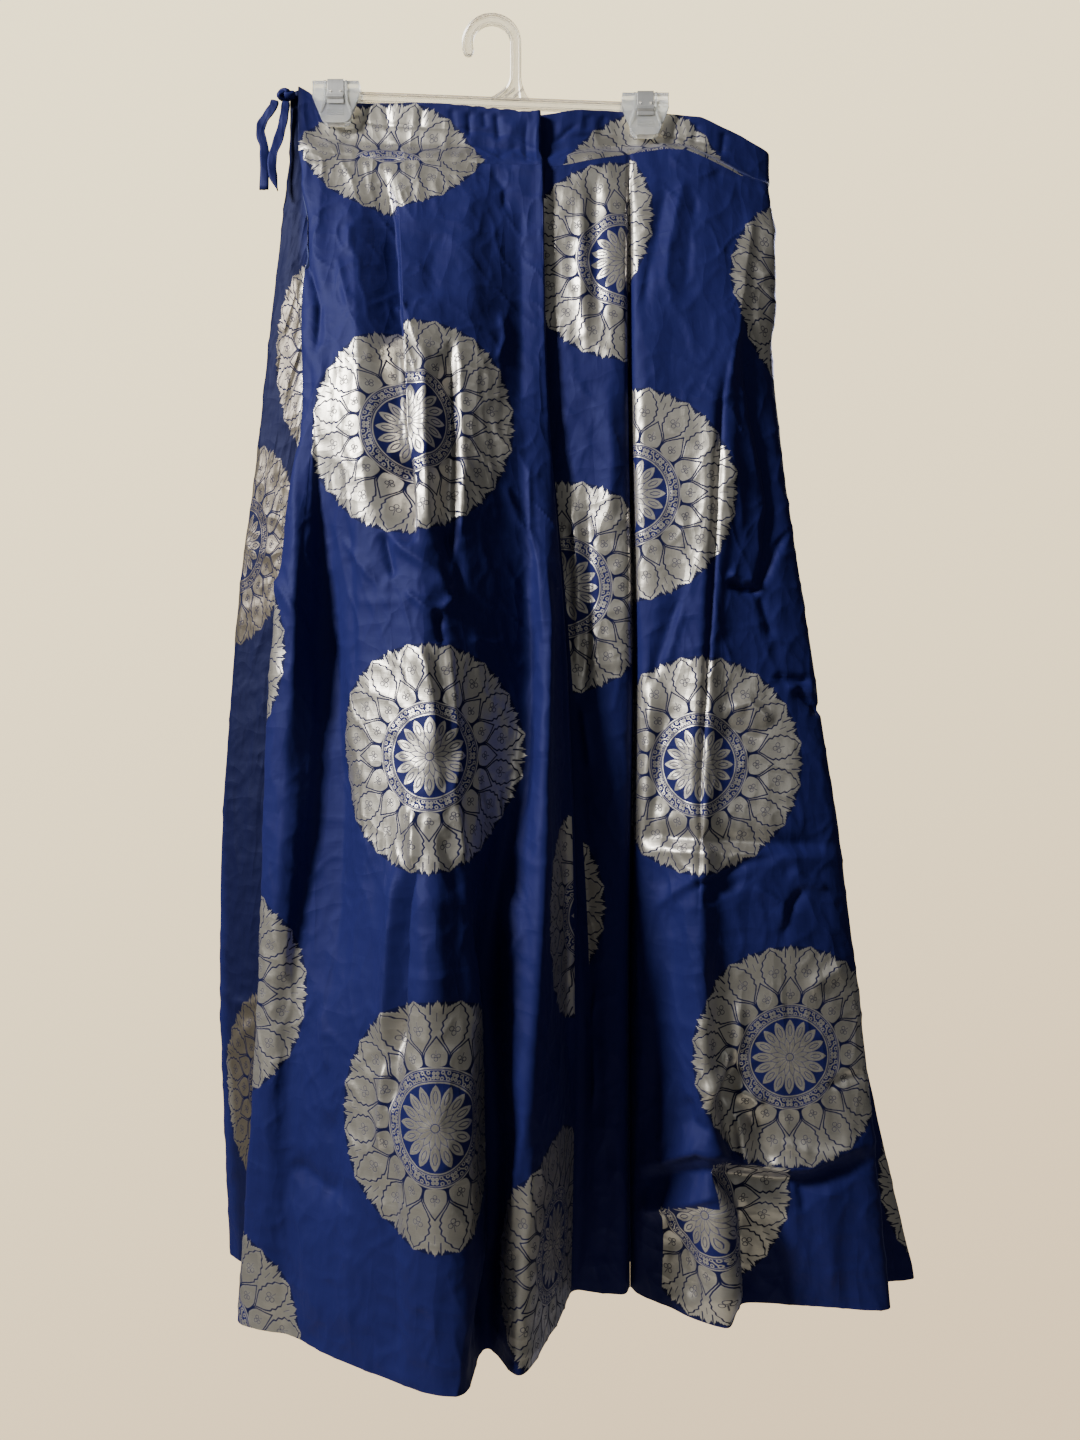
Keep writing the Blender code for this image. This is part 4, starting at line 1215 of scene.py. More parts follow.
SEWN = ("side opening, front", "slot's seam", "right side seam", "centre back seam",
        "side opening, back")
CLOTH_PIECES = tuple(ClothPiece(*row) for row in (
    ("skirt_front_left", "side opening, front", "flute's shoulder", "front"),
    ("skirt_front_flute", "flute's shoulder", "middle valley", "front"),
    ("skirt_front_middle", "middle valley", "slot's seam", "front"),
    ("skirt_front_right_gore", "slot's seam", "gore's outer face", "gore"),
    ("skirt_right_side", "gore's outer face", "right side seam", "gore"),
    ("skirt_back_far_right", "right side seam", "back valley 1", "back right"),
    ("skirt_back_right", "back valley 1", "back valley 2", "back right"),
    ("skirt_back_middle", "back valley 2", "centre back seam", "back right"),
    ("skirt_back_left", "centre back seam", "side opening, back", "back left"),
    ("waistband_front_left", "side opening, front", "pleat's hidden end", "band"),
    ("waistband_front_right", "pleat's hidden end", "back ridge 1", "band"),
    ("waistband_back_right", "back ridge 1", "centre back seam", "band back"),
    ("waistband_back_left", "centre back seam", "side opening, back", "band back"),
))


class Laid(NamedTuple):
    """A medallion laid on the cloth.

    It shows between two columns and two seen heights. Its centre is a way to the right of a point of
    the grid and up from it, in metres.
    """

    group: str
    columns: tuple
    heights: tuple
    row: int
    column: int
    right: float
    up: float


@dataclass
class Garment:
    """The skirt's panels and the waistband, cut out of the one cloth."""

    cloth: Cloth
    panel_wall: float = 0.55 * MM
    band_wall: float = 1.1 * MM
    radius: float = 90.0 * MM
    far: float = 3.0                 # motif coordinate of ground far from every medallion
    drawn_to: float = 1.25           # and the coordinate that a medallion's map reaches
    least_across: float = 0.45       # a row seen end on counts as this much across the view
    laid: list = field(init=False)

    def __post_init__(self) -> None:
        """Lay the medallions on the cloth."""
        self.laid = [*self.front_motifs(), *self.back_motifs()]

    def front_motifs(self) -> list:
        """The medallions of the front and the band, laid where the camera sees them.

        Returns:
            The laid medallions.
        """
        laid = []
        places, starts = seen(self.cloth.base), self.cloth.starts
        seam_row = self.cloth.band_rows + 1
        for group, motifs in MOTIFS.items():
            rows = slice(0, seam_row) if group == "band" else slice(seam_row, None)
            for motif in motifs:
                begin, end = starts[motif.first_fold], starts[motif.last_fold]
                target = np.array(motif.place) * MM
                away = np.linalg.norm(places[rows, begin:end + 1] - target, axis=-1)
                row, column = np.unravel_index(np.argmin(away), away.shape)
                row, column = row + rows.start, column + begin
                laid.append(Laid(group, (starts[motif.shown_from], starts[motif.shown_to]),
                                 (motif.shown_over * MM, motif.shown_under * MM), row, column,
                                 *self.offset(row, column, target - places[row, column])))
        return laid

    def back_motifs(self) -> list:
        """The medallions of the back, laid beside their folds.

        Returns:
            The laid medallions.
        """
        laid = []
        base, seam_row = self.cloth.base, self.cloth.band_rows + 1
        for group, motifs in BACK_MOTIFS.items():
            for motif in motifs:
                column = self.cloth.starts[motif.fold]
                row = int(np.argmin(np.abs(base[seam_row:, column, 2] - motif.height * MM)))
                laid.append(Laid(group, (0, base.shape[1]), (-2.0, 0.0), row + seam_row, column,
                                 motif.aside * MM, 0.0))
        return laid

    def offset(self, row: int, column: int, left: Array) -> tuple[float, float]:
        """Turn a seen distance into lengths of cloth.

        Args:
            row: Row of the point that the distance is seen from.
            column: Its column.
            left: The distance on the hanger's plane, to the right and up.

        Returns:
            The lengths along the cloth's row and up its column.
        """
        depth = (self.cloth.base[row, column, 1] - CAMERA_PLACE[1]) / PLANE_AWAY
        along, _ = self.directions(row, column)
        across = max(self.least_across, abs(along[0]))
        return float(left[0] * depth / across), float(left[1] * depth)

    def directions(self, row: int, column: int) -> tuple[Array, Array]:
        """Unit directions along the row and down the column at a point of the cloth.

        Args:
            row: The point's row.
            column: Its column.

        Returns:
            The two directions.
        """
        grid = self.cloth.base
        last_row, last_column = grid.shape[0] - 1, grid.shape[1] - 1
        along = grid[row, min(column + 1, last_column)] - grid[row, max(column - 1, 0)]
        if row <= self.cloth.band_rows:
            low, high = max(row - 2, 0), min(row + 2, self.cloth.band_rows)
        else:
            low, high = max(row - 3, self.cloth.band_rows + 1), min(row + 3, last_row)
        return unit(along), unit(grid[high, column] - grid[low, column])

    def motif_map(self, group: str, rows: slice, columns: slice) -> Array:
        """The medallions' coordinates at every corner of every face of a piece.

        Args:
            group: The cloth that the piece is cut from.
            rows: The piece's rows of points.
            columns: Its columns.

        Returns:
            Array of face row, face column, corner (low row left, low row right, high row right,
            high row left) and coordinate.
        """
        across, down = self.cloth.across[rows], self.cloth.down[rows]
        seen_height = seen(self.cloth.base[rows, columns])[:-1, :-1, 1]
        best = np.full(seen_height.shape, self.far)
        chosen = np.full((*best.shape, 4, 2), self.far)
        face = np.arange(columns.start, columns.start + best.shape[1])
        for medallion in self.laid:
            if medallion.group != group:
                continue
            row, column = medallion.row, medallion.column
            along, fall = self.directions(row, column)
            slant = float(along @ fall)
            upright = math.sqrt(max(0.05, 1 - slant * slant))
            a = across[:, columns] - across[:, column:column + 1]
            b = down[:, columns] - self.cloth.down[row, columns][None, :]
            x = (a + b * slant - medallion.right) / self.radius
            y = (-b * upright - medallion.up) / self.radius
            corners = np.stack([np.stack([way[:-1, :-1], way[:-1, 1:], way[1:, 1:], way[1:, :-1]], axis=-1)
                                for way in (x, y)], axis=-1)
            away = np.linalg.norm(corners.mean(axis=2), axis=-1)
            (begin, end), (low, high) = medallion.columns, medallion.heights
            away[:, (face < begin) | (face >= end)] = self.far
            away[(seen_height < low) | (seen_height > high)] = self.far
            nearer = away < best
            best = np.where(nearer, away, best)
            chosen = np.where(nearer[..., None, None], corners, chosen)
        return np.where((best < self.drawn_to)[..., None, None], chosen, self.far)

    def span(self, piece: ClothPiece) -> tuple[slice, slice]:
        """The rows and the columns of a piece's points."""
        seam_row = self.cloth.band_rows + 1
        rows = slice(0, seam_row) if piece.group.startswith("band") else slice(seam_row, None)
        return rows, slice(self.cloth.starts[piece.first], self.cloth.starts[piece.last] + 1)

    def cut(self, piece: ClothPiece, *finishes: Material) -> Piece:
        """Cut a piece out of the cloth. The skirt's back has only every second row.

        Args:
            piece: Which piece.
            finishes: The materials of its two sides.

        Returns:
            The piece.
        """
        rows, columns = self.span(piece)
        step = 2 if piece.group.startswith("back") else 1
        wall = self.band_wall if piece.group.startswith("band") else self.panel_wall
        points = self.cloth.points[rows, columns][::step].copy()
        for end, beside, fold in ((0, 1, piece.first), (-1, -2, piece.last)):
            if fold in SEWN:
                points[:, end] += unit(points[:, beside] - points[:, end]) * SEAM_GAP / 2
        outward = self.cloth.outward[rows, columns][::step]
        down, over = points.shape[:2]
        tool = bmesh.new()
        bmesh.ops.create_grid(tool, x_segments=over - 1, y_segments=down - 1, size=1.0)
        row_of, column_of = (tool.verts.layers.int.new(name) for name in ("row", "column"))
        for vert in tool.verts:
            vert[column_of] = round((vert.co.x + 1) / 2 * (over - 1))
            vert[row_of] = round((1 - vert.co.y) / 2 * (down - 1))
        inner = set(tool.verts)
        moved = bmesh.ops.extrude_face_region(tool, geom=list(tool.faces))["geom"]
        outer_faces = {item for item in moved if isinstance(item, bmesh.types.BMFace)}
        layer = points - outward * wall
        for vert in tool.verts:
            place = layer if vert in inner else points
            vert.co = Vector(place[vert[row_of], vert[column_of]])
        for face in tool.faces:
            face.material_index = 1 if all(vert in inner for vert in face.verts) else 0
        order = np.array([(vert[row_of], vert[column_of]) for vert in tool.verts])
        side = np.array([1 if face in outer_faces else -1 if face.material_index else 0
                         for face in tool.faces])
        made = object_from(tool, piece.name + "_cloth", *finishes)
        loops = np.zeros(len(made.data.loops), dtype=int)
        made.data.loops.foreach_get("vertex_index", loops)
        corner = order[loops].reshape(-1, 4, 2)
        self.dress(made, corner, piece, step)
        # the whole cloth's normals, so that the piece runs on into its neighbour
        made.data.shade_smooth()
        normals = outward[corner[..., 0], corner[..., 1]] * side[:, None, None]
        made.data.normals_split_custom_set(normals.reshape(-1, 3).tolist())
        return made

    def dress(self, made: Piece, corner: Array, piece: ClothPiece, step: int) -> None:
        """Give a piece the map of its medallions and the map of its weave.

        Args:
            made: The piece of the scene.
            corner: Row and column of every corner of its faces.
            piece: Which piece of the cloth it is.
            step: It has every so many of the cloth's rows.
        """
        rows, columns = self.span(piece)
        whole = self.motif_map(piece.group, rows, columns)
        across, down = self.cloth.across[rows, columns], self.cloth.down[rows, columns]
        low = np.minimum(corner.min(axis=1), corner.max(axis=(0, 1)) - 1)
        turn = corner - low[:, None, :]
        kind = np.where(turn[..., 0] == 0, turn[..., 1], 3 - turn[..., 1])
        face_row = np.minimum(low[:, 0] * step, whole.shape[0] - 1)
        last_row = np.minimum(face_row + step - 1, whole.shape[0] - 1)
        from_row = np.where(turn[..., 0] == 0, face_row[:, None], last_row[:, None])
        motif = whole[from_row, low[:, 1][:, None], kind]
        if step > 1:
            # both rows of a face have to belong to the same medallion
            same = np.linalg.norm(motif.max(axis=1) - motif.min(axis=1), axis=-1) < 0.5
            motif = np.where(same[:, None, None], motif, self.far)
        weave_row = np.minimum(corner[..., 0] * step, across.shape[0] - 1)
        x = across[weave_row, corner[..., 1]] - across[weave_row, across.shape[1] // 2]
        y = down[weave_row, corner[..., 1]]
        for name, values in ((MOTIF_UV, motif), (CLOTH_UV, np.stack([x, y], axis=-1))):
            layer = made.data.uv_layers.new(name=name)
            layer.data.foreach_set("uv", values.reshape(-1).astype(np.float32))

    def build(self) -> None:
        """Cut and dress every piece and ride it on the body."""
        face, inside = Brocade().face("brocade_face"), Brocade().reverse("brocade_reverse")
        for piece in CLOTH_PIECES:
            made = self.cut(piece, face, inside)
            settle(made, "brocade", piece.name)
            if piece.group.startswith("band"):
                self.declare(piece)
            else:
                self.declare(piece)

    def declare(self, piece: ClothPiece) -> None:
        """Look up a piece's cloth before it was hung; the result is not used.

        Args:
            piece: Which piece of the cloth it is.
        """
        grid = self.cloth.base[self.span(piece)]


def swept(columns: int, rows: int, place: Callable[[int, int], Sequence[float]]) -> BMesh:
    """A grid bent into a closed tube with filled ends.

    Args:
        columns: How many points go round the tube.
        rows: How many stations it has.
        place: Gives the point at a column and a row.

    Returns:
        The tube.
    """
    tool = bmesh.new()
    bmesh.ops.create_grid(tool, x_segments=columns, y_segments=rows - 1, size=1.0)
    for vert in tool.verts:
        column = round((vert.co.x + 1) / 2 * columns) % columns
        row = round((vert.co.y + 1) / 2 * (rows - 1))
        vert.co = Vector(place(column, row))
    bmesh.ops.remove_doubles(tool, verts=tool.verts, dist=1e-6)
    bmesh.ops.holes_fill(tool, edges=[edge for edge in tool.edges if edge.is_boundary], sides=0)
    bmesh.ops.recalc_face_normals(tool, faces=tool.faces)
    return tool


def joined(tools: Sequence[BMesh]) -> BMesh:
    """Several bmeshes as one.

    Args:
        tools: The bmeshes, which are freed.

    Returns:
        The one.
    """
    whole = bmesh.new()
    for tool in tools:
        part = bpy.data.meshes.new("part")
        tool.to_mesh(part)
        tool.free()
        whole.from_mesh(part)
        bpy.data.meshes.remove(part)
    return whole


def softened(piece: Piece, width: float, segments: int = 2) -> Piece:
    """Round a piece's edges.

    Args:
        piece: The piece.
        width: Width of the rounding in metres.
        segments: Its steps.

    Returns:
        The piece.
    """
    piece.data.shade_smooth()
    soften = piece.modifiers.new("soften", "BEVEL")
    soften.width = width
    soften.segments = segments
    soften.limit_method = "ANGLE"
    soften.angle_limit = math.radians(30)
    soften.harden_normals = True
    return piece


def packed_line(points: Sequence[Sequence[float]], step: float) -> list:
    """Points along a closed line of straight runs.

    Args:
        points: The corners.
        step: The longest way between two points.

    Returns:
        The points.
    """
    line = []
    for here, there in zip(points, [*points[1:], points[0]]):
        count = max(1, math.ceil(math.dist(here, there) / step))
        line += [[a + (b - a) * k / count for a, b in zip(here, there)] for k in range(count)]
    return line


@dataclass
class Hanger:
    """The clear moulded hanger: hook, shaft, gusset and bar with a rim round a thinner web."""

    inner: float = 16.3 * MM
    wide: float = 9.5 * MM
    deep: float = 5.0 * MM
    rim: float = 2.5 * MM
    web: float = 1.9 * MM
    tip_turn: float = 196.0              # the hook turns this many degrees from the shaft to its tip
    hook_steps: int = 52
    tip_steps: int = 5
    shaft_foot: float = -42.6 * MM
    gusset: tuple = (-0.5 * MM, 32.5 * MM)
    gusset_steps: int = 10
    flare_power: float = 2.4
    bar_half: float = 145.0 * MM
    bar_tall: float = 9.0 * MM
    bar_middle: float = -67.8 * MM
    bar_fall: float = -0.0385            # rise of the bar a metre to the right
    # where the bar's sections stand, and how tall they are, in shares of its half length and height
    bar_ends: tuple = ((-1.0, 0.82), (-0.994, 1.0), (0.994, 1.0), (1.0, 0.82))
    chamfer: float = 0.8 * MM
    rib_places: tuple = (4.5 * MM, 12.0 * MM, 19.5 * MM)

    def bar_height(self, x: float) -> float:
        """Height of the bar's centre line."""
        return self.bar_middle + self.bar_fall * x

    def section(self, wide: float) -> list:
        """The section of the moulding: a rim on each side of a thinner web.

        Args:
            wide: Its width.

        Returns:
            Its points, each a share of the width and a depth.
        """
        edge, half, web = self.chamfer, self.deep / 2, self.web / 2
        side = [(0.0, half - edge), (edge, half), (self.rim - 0.5 * MM, half), (self.rim, web)]
        front = [(a, -b) for a, b in side] + [(wide - a, -b) for a, b in reversed(side)]
        ring = front + [(a, -b) for a, b in reversed(front)]
        return [(a / wide, b) for a, b in ring]

    def hook_stations(self) -> list:
        """The two edges of the hook and the shaft.

        Returns:
            Pairs of points, from the tip down to the bar.
        """
        middle, half = self.inner + self.wide / 2, self.wide / 2
        tip = math.radians(self.tip_turn)
        stations = []
        for step in range(self.tip_steps, 0, -1):
            round_off = math.radians(90) * step / self.tip_steps
            beyond = half * math.sin(round_off) / middle
            reach = half * math.cos(round_off) + 0.05 * MM
            stations.append(self.on_arc(tip + beyond, middle - reach, middle + reach))
        left, right = self.inner, self.inner + self.wide
        stations += [self.on_arc(tip * (1 - step / self.hook_steps), left, right)
                     for step in range(self.hook_steps + 1)]
        foot = [self.bar_height(x) + self.bar_tall / 2 - 0.2 * MM for x in self.gusset]
        stations.append(((left, self.shaft_foot + 12 * MM), (right, self.shaft_foot + 12 * MM)))
        for step in range(self.gusset_steps + 1):
            share = step / self.gusset_steps
            flare = share ** self.flare_power
            stations.append(tuple((edge + (wide - edge) * flare,
                                   self.shaft_foot + (low - self.shaft_foot) * share)
                                  for edge, wide, low in zip((left, right), self.gusset, foot)))
        return stations

    def on_arc(self, turn: float, near: float, far: float) -> tuple:
        """Two points on a ray from the hook's centre."""
        return tuple((reach * math.cos(turn), -self.inner + reach * math.sin(turn)) for reach in (near, far))

    def build(self) -> None:
        """Make the moulding and the ribs on its gusset."""
        stations, ring, bar = self.hook_stations(), self.section(self.wide), self.section(self.bar_tall)

        def on_hook(column: int, row: int) -> tuple:
            """A point of the hook."""
            (x0, z0), (x1, z1) = stations[row]
            share, depth = ring[column]
            return x0 + (x1 - x0) * share, depth, z0 + (z1 - z0) * share

        def on_bar(column: int, row: int) -> tuple:
            """A point of the bar."""
            share, depth = bar[column]
            reach, tall = self.bar_ends[row]
            x = reach * self.bar_half
            return x, depth, self.bar_height(x) + (share - 0.5) * self.bar_tall * tall

        tools = [swept(len(ring), len(stations), on_hook), swept(len(bar), len(self.bar_ends), on_bar),
                 *(self.rib(place) for place in self.rib_places)]
        made = object_from(joined(tools), "hanger_moulding", ClearPlastic().make("hanger_plastic"))
        settle(softened(made, 0.35 * MM, 1), "clear_plastic", "hanger")

    def rib(self, x: float) -> BMesh:
        """A slanting rib on both faces of the gusset's web.

        Args:
            x: Where its lower end stands.

        Returns:
            The rib.
        """
        low = self.bar_height(x) + self.bar_tall / 2 + 1.0 * MM
        ends = ((x - 0.7 * MM, low), (x + 8.2 * MM, low + 7.2 * MM))

        def place(column: int, row: int) -> tuple:
            """A point of the rib."""
            lift, depth = ((-0.7, -1.7), (0.7, -1.7), (0.7, 1.7), (-0.7, 1.7))[column]
            return ends[row][0], depth * MM, ends[row][1] + lift * MM

        return swept(4, 2, place)


class Side(Enum):
    """The two sides of the viewer."""

    LEFT = "left"
    RIGHT = "right"


@dataclass
class Clip:
    """A clear clip: two jaws with moulded rails, and the steel spring that closes them.

    The rails' route and section and the grips' heights and section are in millimetres. A jaw's sign
    is 1 for the one nearer to the viewer and −1 for the one behind.
    """

    side: Side
    x: float
    top: float
    wide: float = 40.0 * MM
    foot: float = 20.5 * MM
    tall: float = 36.0 * MM
    shoulder: float = 13.0 * MM      # the clip keeps its width down to here
    foot_round: float = 3.4 * MM     # the height of the rounding at its foot
    face: float = 11.5 * MM
    plate: float = 2.4 * MM
    lug: float = 2.8 * MM
    lug_tall: float = 8.6 * MM
    lip_face: float = 3.9 * MM
    lip_tall: float = 7.0 * MM
    spring_wide: float = 14.0 * MM
    spring_wall: float = 0.9 * MM
    gap: float = 0.3 * MM
    milk: float = 0.12
    tint: tuple = (0.90, 0.94, 1.0)
    shares: tuple = (-1.0, -0.5, 0.0, 0.5, 1.0)
    route: tuple = ((9.1, -0.4), (9.1, -9.0), (9.2, -14.5), (10.2, -19.0), (12.0, -24.0), (13.2, -28.4))
    rail_section: tuple = ((-1.35, 0.5), (-0.85, -1.5), (0.85, -1.5), (1.35, 0.5))
    grip_section: tuple = ((-0.45, 0.4), (0.0, -0.55), (0.45, 0.4))
    grips: tuple = (24.6, 26.1, 27.6, 29.1)
    grip_half: float = 7.4 * MM
    pegs: tuple = (-4.4 * MM, 4.4 * MM)

    def half_width(self, z: float) -> float:
        """Half of a jaw's width.

        Args:
            z: The height over the clip's top, which is below 0.

        Returns:
            Half the width there.
        """
        share = max(0.0, (-z - self.shoulder) / (self.tall - self.shoulder))
        round_foot = max(0.0, (-z - self.tall + self.foot_round) / self.foot_round) ** 3 * 3.0 * MM
        return self.wide / 2 + (self.foot - self.wide) / 2 * share ** 1.15 - round_foot

    def build(self) -> None:
        """Make the jaws, the spring and its pegs."""
        name = f"clip_{self.side.value}"
        plastic = ClearPlastic(tint=self.tint).make(f"{name}_plastic", milk=self.milk)
        for jaw, sign in (("front", 1), ("back", -1)):
            tools = [self.jaw(sign), *(self.rail(sign, way) for way in (-1, 1)),
                     *(self.grip(sign, -low * MM) for low in self.grips)]
            made = object_from(joined(tools), f"{name}_{jaw}_moulding", plastic)
            settle(softened(made, 0.45 * MM), "clear_plastic", f"{name}_{jaw}_jaw")
        steel = SpringSteel().make(f"{name}_steel")
        made = object_from(self.spring(), f"{name}_bent_spring", steel)
        settle(softened(made, 0.2 * MM, 1), "spring_steel", f"{name}_spring")
        pegs = [self.peg(x, sign) for x in self.pegs for sign in (1, -1)]
        made = object_from(joined(pegs), f"{name}_pegs", plastic)
        settle(softened(made, 0.2 * MM), "clear_plastic")

    def jaw(self, sign: int) -> BMesh:
        """One jaw: plate, lug round the bar and lip on the cloth.

        Args:
            sign: Which jaw.

        Returns:
            The jaw.
        """
        back, lip_top = self.face - self.plate, self.lip_tall - self.tall
        outline = ((-self.face, 0), (-self.lug, 0), (-self.lug, -self.lug_tall),
                   (-back, -self.lug_tall - 1.8 * MM), (-back, lip_top),
                   (-self.lip_face, lip_top - 1.4 * MM), (-self.lip_face, -self.tall),
                   (-self.face, -self.tall))
        line = packed_line(outline, 1.6 * MM)

        def place(column: int, row: int) -> tuple:
            """A point of the jaw."""
            y, z = line[column]
            return self.x + self.shares[row] * self.half_width(z), sign * y, self.top + z

        return swept(len(line), len(self.shares), place)

    def rail(self, sign: int, way: int) -> BMesh:
        """A raised rail that runs down a jaw's face and flares out.

        Args:
            sign: Which jaw.
            way: 1 for the right rail, −1 for the left one.

        Returns:
            The rail.
        """
        def place(column: int, row: int) -> tuple:
            """A point of the rail, which runs out flat at its foot."""
            x, z = self.route[row]
            across, out = self.rail_section[column]
            out = out if row < len(self.route) - 1 else 0.2
            return (self.x + way * (x + across) * MM, sign * (-self.face + out * MM), self.top + z * MM)

        return swept(4, len(self.route), place)

    def grip(self, sign: int, z: float) -> BMesh:
        """A fine rib across the foot of a jaw's face.

        Args:
            sign: Which jaw.
            z: The height over the clip's top, which is below 0.

        Returns:
            The rib.
        """
        def place(column: int, row: int) -> tuple:
            """A point of the rib."""
            rise, out = self.grip_section[column]
            return (self.x + (row * 2 - 1) * self.grip_half, sign * (-self.face + out * MM),
                    self.top + z + rise * MM)

        return swept(3, 2, place)

    def spring(self) -> BMesh:
        """The steel strip over the clip's top, with a rolled bead low on each leg.

        Returns:
            The strip.
        """
        high = self.gap + self.spring_wall / 2
        mid = self.face + high
        bead, bead_middle = 1.7 * MM, -14.4 * MM
        leg = [(mid, 0.0), (mid, -4.0 * MM), (mid, -12.2 * MM)]
        for turn in range(75, -76, -25):
            leg.append((mid + 0.2 * MM + bead * math.cos(math.radians(turn)),
                        bead_middle + bead * math.sin(math.radians(turn))))
        leg += [(mid, -16.6 * MM), (mid, -20.0 * MM)]
        crown = [(mid - 0.3 * MM, high - 0.1 * MM), (mid - 1.2 * MM, high)]
        run = [(-y, z) for y, z in [*reversed(leg), *crown]] + [*reversed(crown), *leg]
        half, wall = self.spring_wide / 2, self.spring_wall / 2
        way = np.gradient(np.array(run), axis=0)
        side = unit(np.stack([way[:, 1], -way[:, 0]], axis=1))

        def place(column: int, row: int) -> tuple:
            """A point of the strip."""
            x, off = ((-half, -wall), (half, -wall), (half, wall), (-half, wall))[column]
            y, z = np.array(run[row]) + side[row] * off
            return self.x + x, y, self.top + z

        return swept(4, len(run), place)

    def peg(self, x: float, sign: int) -> BMesh:
        """A small moulded peg that stands through the spring.

        Args:
            x: Where it stands beside the clip's middle.
            sign: Which jaw.

        Returns:
            The peg.
        """
        tool = bmesh.new()
        bmesh.ops.create_cone(tool, cap_ends=True, segments=20, radius1=1.15 * MM, radius2=1.0 * MM,
                              depth=1.9 * MM)
        bmesh.ops.rotate(tool, matrix=Matrix.Rotation(math.radians(90 * sign), 3, "X"), verts=tool.verts)
        bmesh.ops.translate(tool, vec=(self.x + x, -sign * (self.face + self.gap + 0.7 * MM),
                                       self.top - 9.6 * MM), verts=tool.verts)
        return tool


@dataclass
class Drawstring:
    """The knot at the casing's end and the two flat ends that hang from it.

    The knot's centre and reach and the ends' routes are in millimetres.
    """

    wide: float = 8.0 * MM
    thick: float = 2.0 * MM
    knot_centre: tuple = (-177.8, -5.6, -64.0)
    knot_reach: tuple = (6.9, 2.3, 3.6)
    knot_thick: float = 3.0 * MM
    knot_ring: float = 1.75              # the knot runs on a ring this many times as wide as its tube
    routes: dict = field(default_factory=lambda: {
        "left": ((-186.8, -6, -68.9), (-188.2, -6, -74), (-194, -5, -81.5), (-199, -4, -89),
                 (-199.8, -4, -97), (-197, -4, -107), (-196.5, -4, -122), (-197, -4, -145)),
        "right": ((-177.4, -6, -69.9), (-178.4, -6, -79), (-180.4, -6, -90), (-184, -7, -104),
                  (-188.3, -8.5, -118), (-188.6, -8.5, -132), (-184, -8, -148)),
    })

    def build(self) -> None:
        finish = Brocade().face("drawstring_silk", motif=False)
        self.finished(self.knot(), "drawstring_tied_knot", finish, "drawstring_knot")
        for side, route in self.routes.items():
            line = smooth_line(np.array(route) * MM, [6] * (len(route) - 1))
            made = self.finished(self.tie(line, side == "right"), f"drawstring_tie_{side}", finish,
                                 f"drawstring_end_{side}")

    def finished(self, tool: BMesh, name: str, finish: Material,
                 node: str) -> Piece:
        """Turn a bmesh into a piece of the drawstring, with the weave's map laid on it.

        Args:
            tool: The bmesh.
            name: Name of the piece.
            finish: Its material.
            node: The node that it stands for.

        Returns:
            The piece.
        """
        made = object_from(tool, name, finish)
        layer = made.data.uv_layers.new(name=CLOTH_UV)
        for loop in made.data.loops:
            x, y, z = made.data.vertices[loop.vertex_index].co
            layer.data[loop.index].uv = (x + 0.4 * y, z)
        made.data.shade_smooth()
        settle(made, "tie_cloth", node)
        return made

    def knot(self) -> BMesh:
        """A flat band tied over itself: a tube along an overhand knot.

        Returns:
            The tube.
        """
        stations, around = 72, 12
        turns = np.arange(stations) / (stations - 1) * math.tau
        reach = (self.knot_ring + np.cos(3 * turns)) / (self.knot_ring + 1)
        shape = np.stack([reach * np.cos(2 * turns), np.sin(3 * turns), reach * np.sin(2 * turns)], axis=1)
        centre = np.array(self.knot_centre) * MM
        line = shape * np.array(self.knot_reach) * MM + centre
        way = unit(np.gradient(line, axis=0))
        side = unit(np.cross(way, line - centre))
        up = np.cross(side, way)

        def place(column: int, row: int) -> tuple:
            """A point of the tube."""
            turn = math.tau * column / around
            flat = self.knot_thick * (1 + 0.10 * math.cos(5 * turn + row * 0.21))
            return tuple(line[row] + side[row] * flat * math.cos(turn)
                         + up[row] * flat * 0.62 * math.sin(turn))

        return swept(around, stations, place)

    def tie(self, line: Array, pointed: bool) -> BMesh:
        """A flat end of the drawstring: a folded strip with rolled edges.

        Args:
            line: The points of its centre line.
            pointed: Whether it ends in a point instead of square.

        Returns:
            The strip.
        """
        around, last = 20, len(line) - 1
        way = unit(np.gradient(line, axis=0))
        side = unit(np.cross(way, np.array((0.0, -1.0, 0.0))))
        out = np.cross(side, way)

        def place(column: int, row: int) -> tuple:
            """A point of the strip."""
            turn = math.tau * column / around
            across = math.copysign(abs(math.cos(turn)) ** 0.6, math.cos(turn))
            lift = math.copysign(abs(math.sin(turn)) ** 0.8, math.sin(turn))
            share = row / last
            narrow = 1 - 0.22 * math.exp(-share * 9) + 0.06 * math.sin(row * 0.8)
            if pointed:
                narrow *= min(1.0, max(0.12, (1 - share) * 7.5))
            fold = 0.30 * MM * math.sin(across * 7 + share * 5) + 0.45 * MM * math.sin(share * 17) * across
            slack = 0.10 * MM * math.sin(row * 1.3 + across * 3)
            point = line[row] + side[row] * across * self.wide / 2 * narrow
            return tuple(point + out[row] * (lift * self.thick / 2 * 0.8 + fold + slack))

        return swept(around, len(line), place)


class Lamp(NamedTuple):
    """A square soft light: its place, what it points at, its side, its power in watts, its colour."""

    name: str
    place: tuple
    aim: tuple
    size: float
    power: float
    colour: tuple


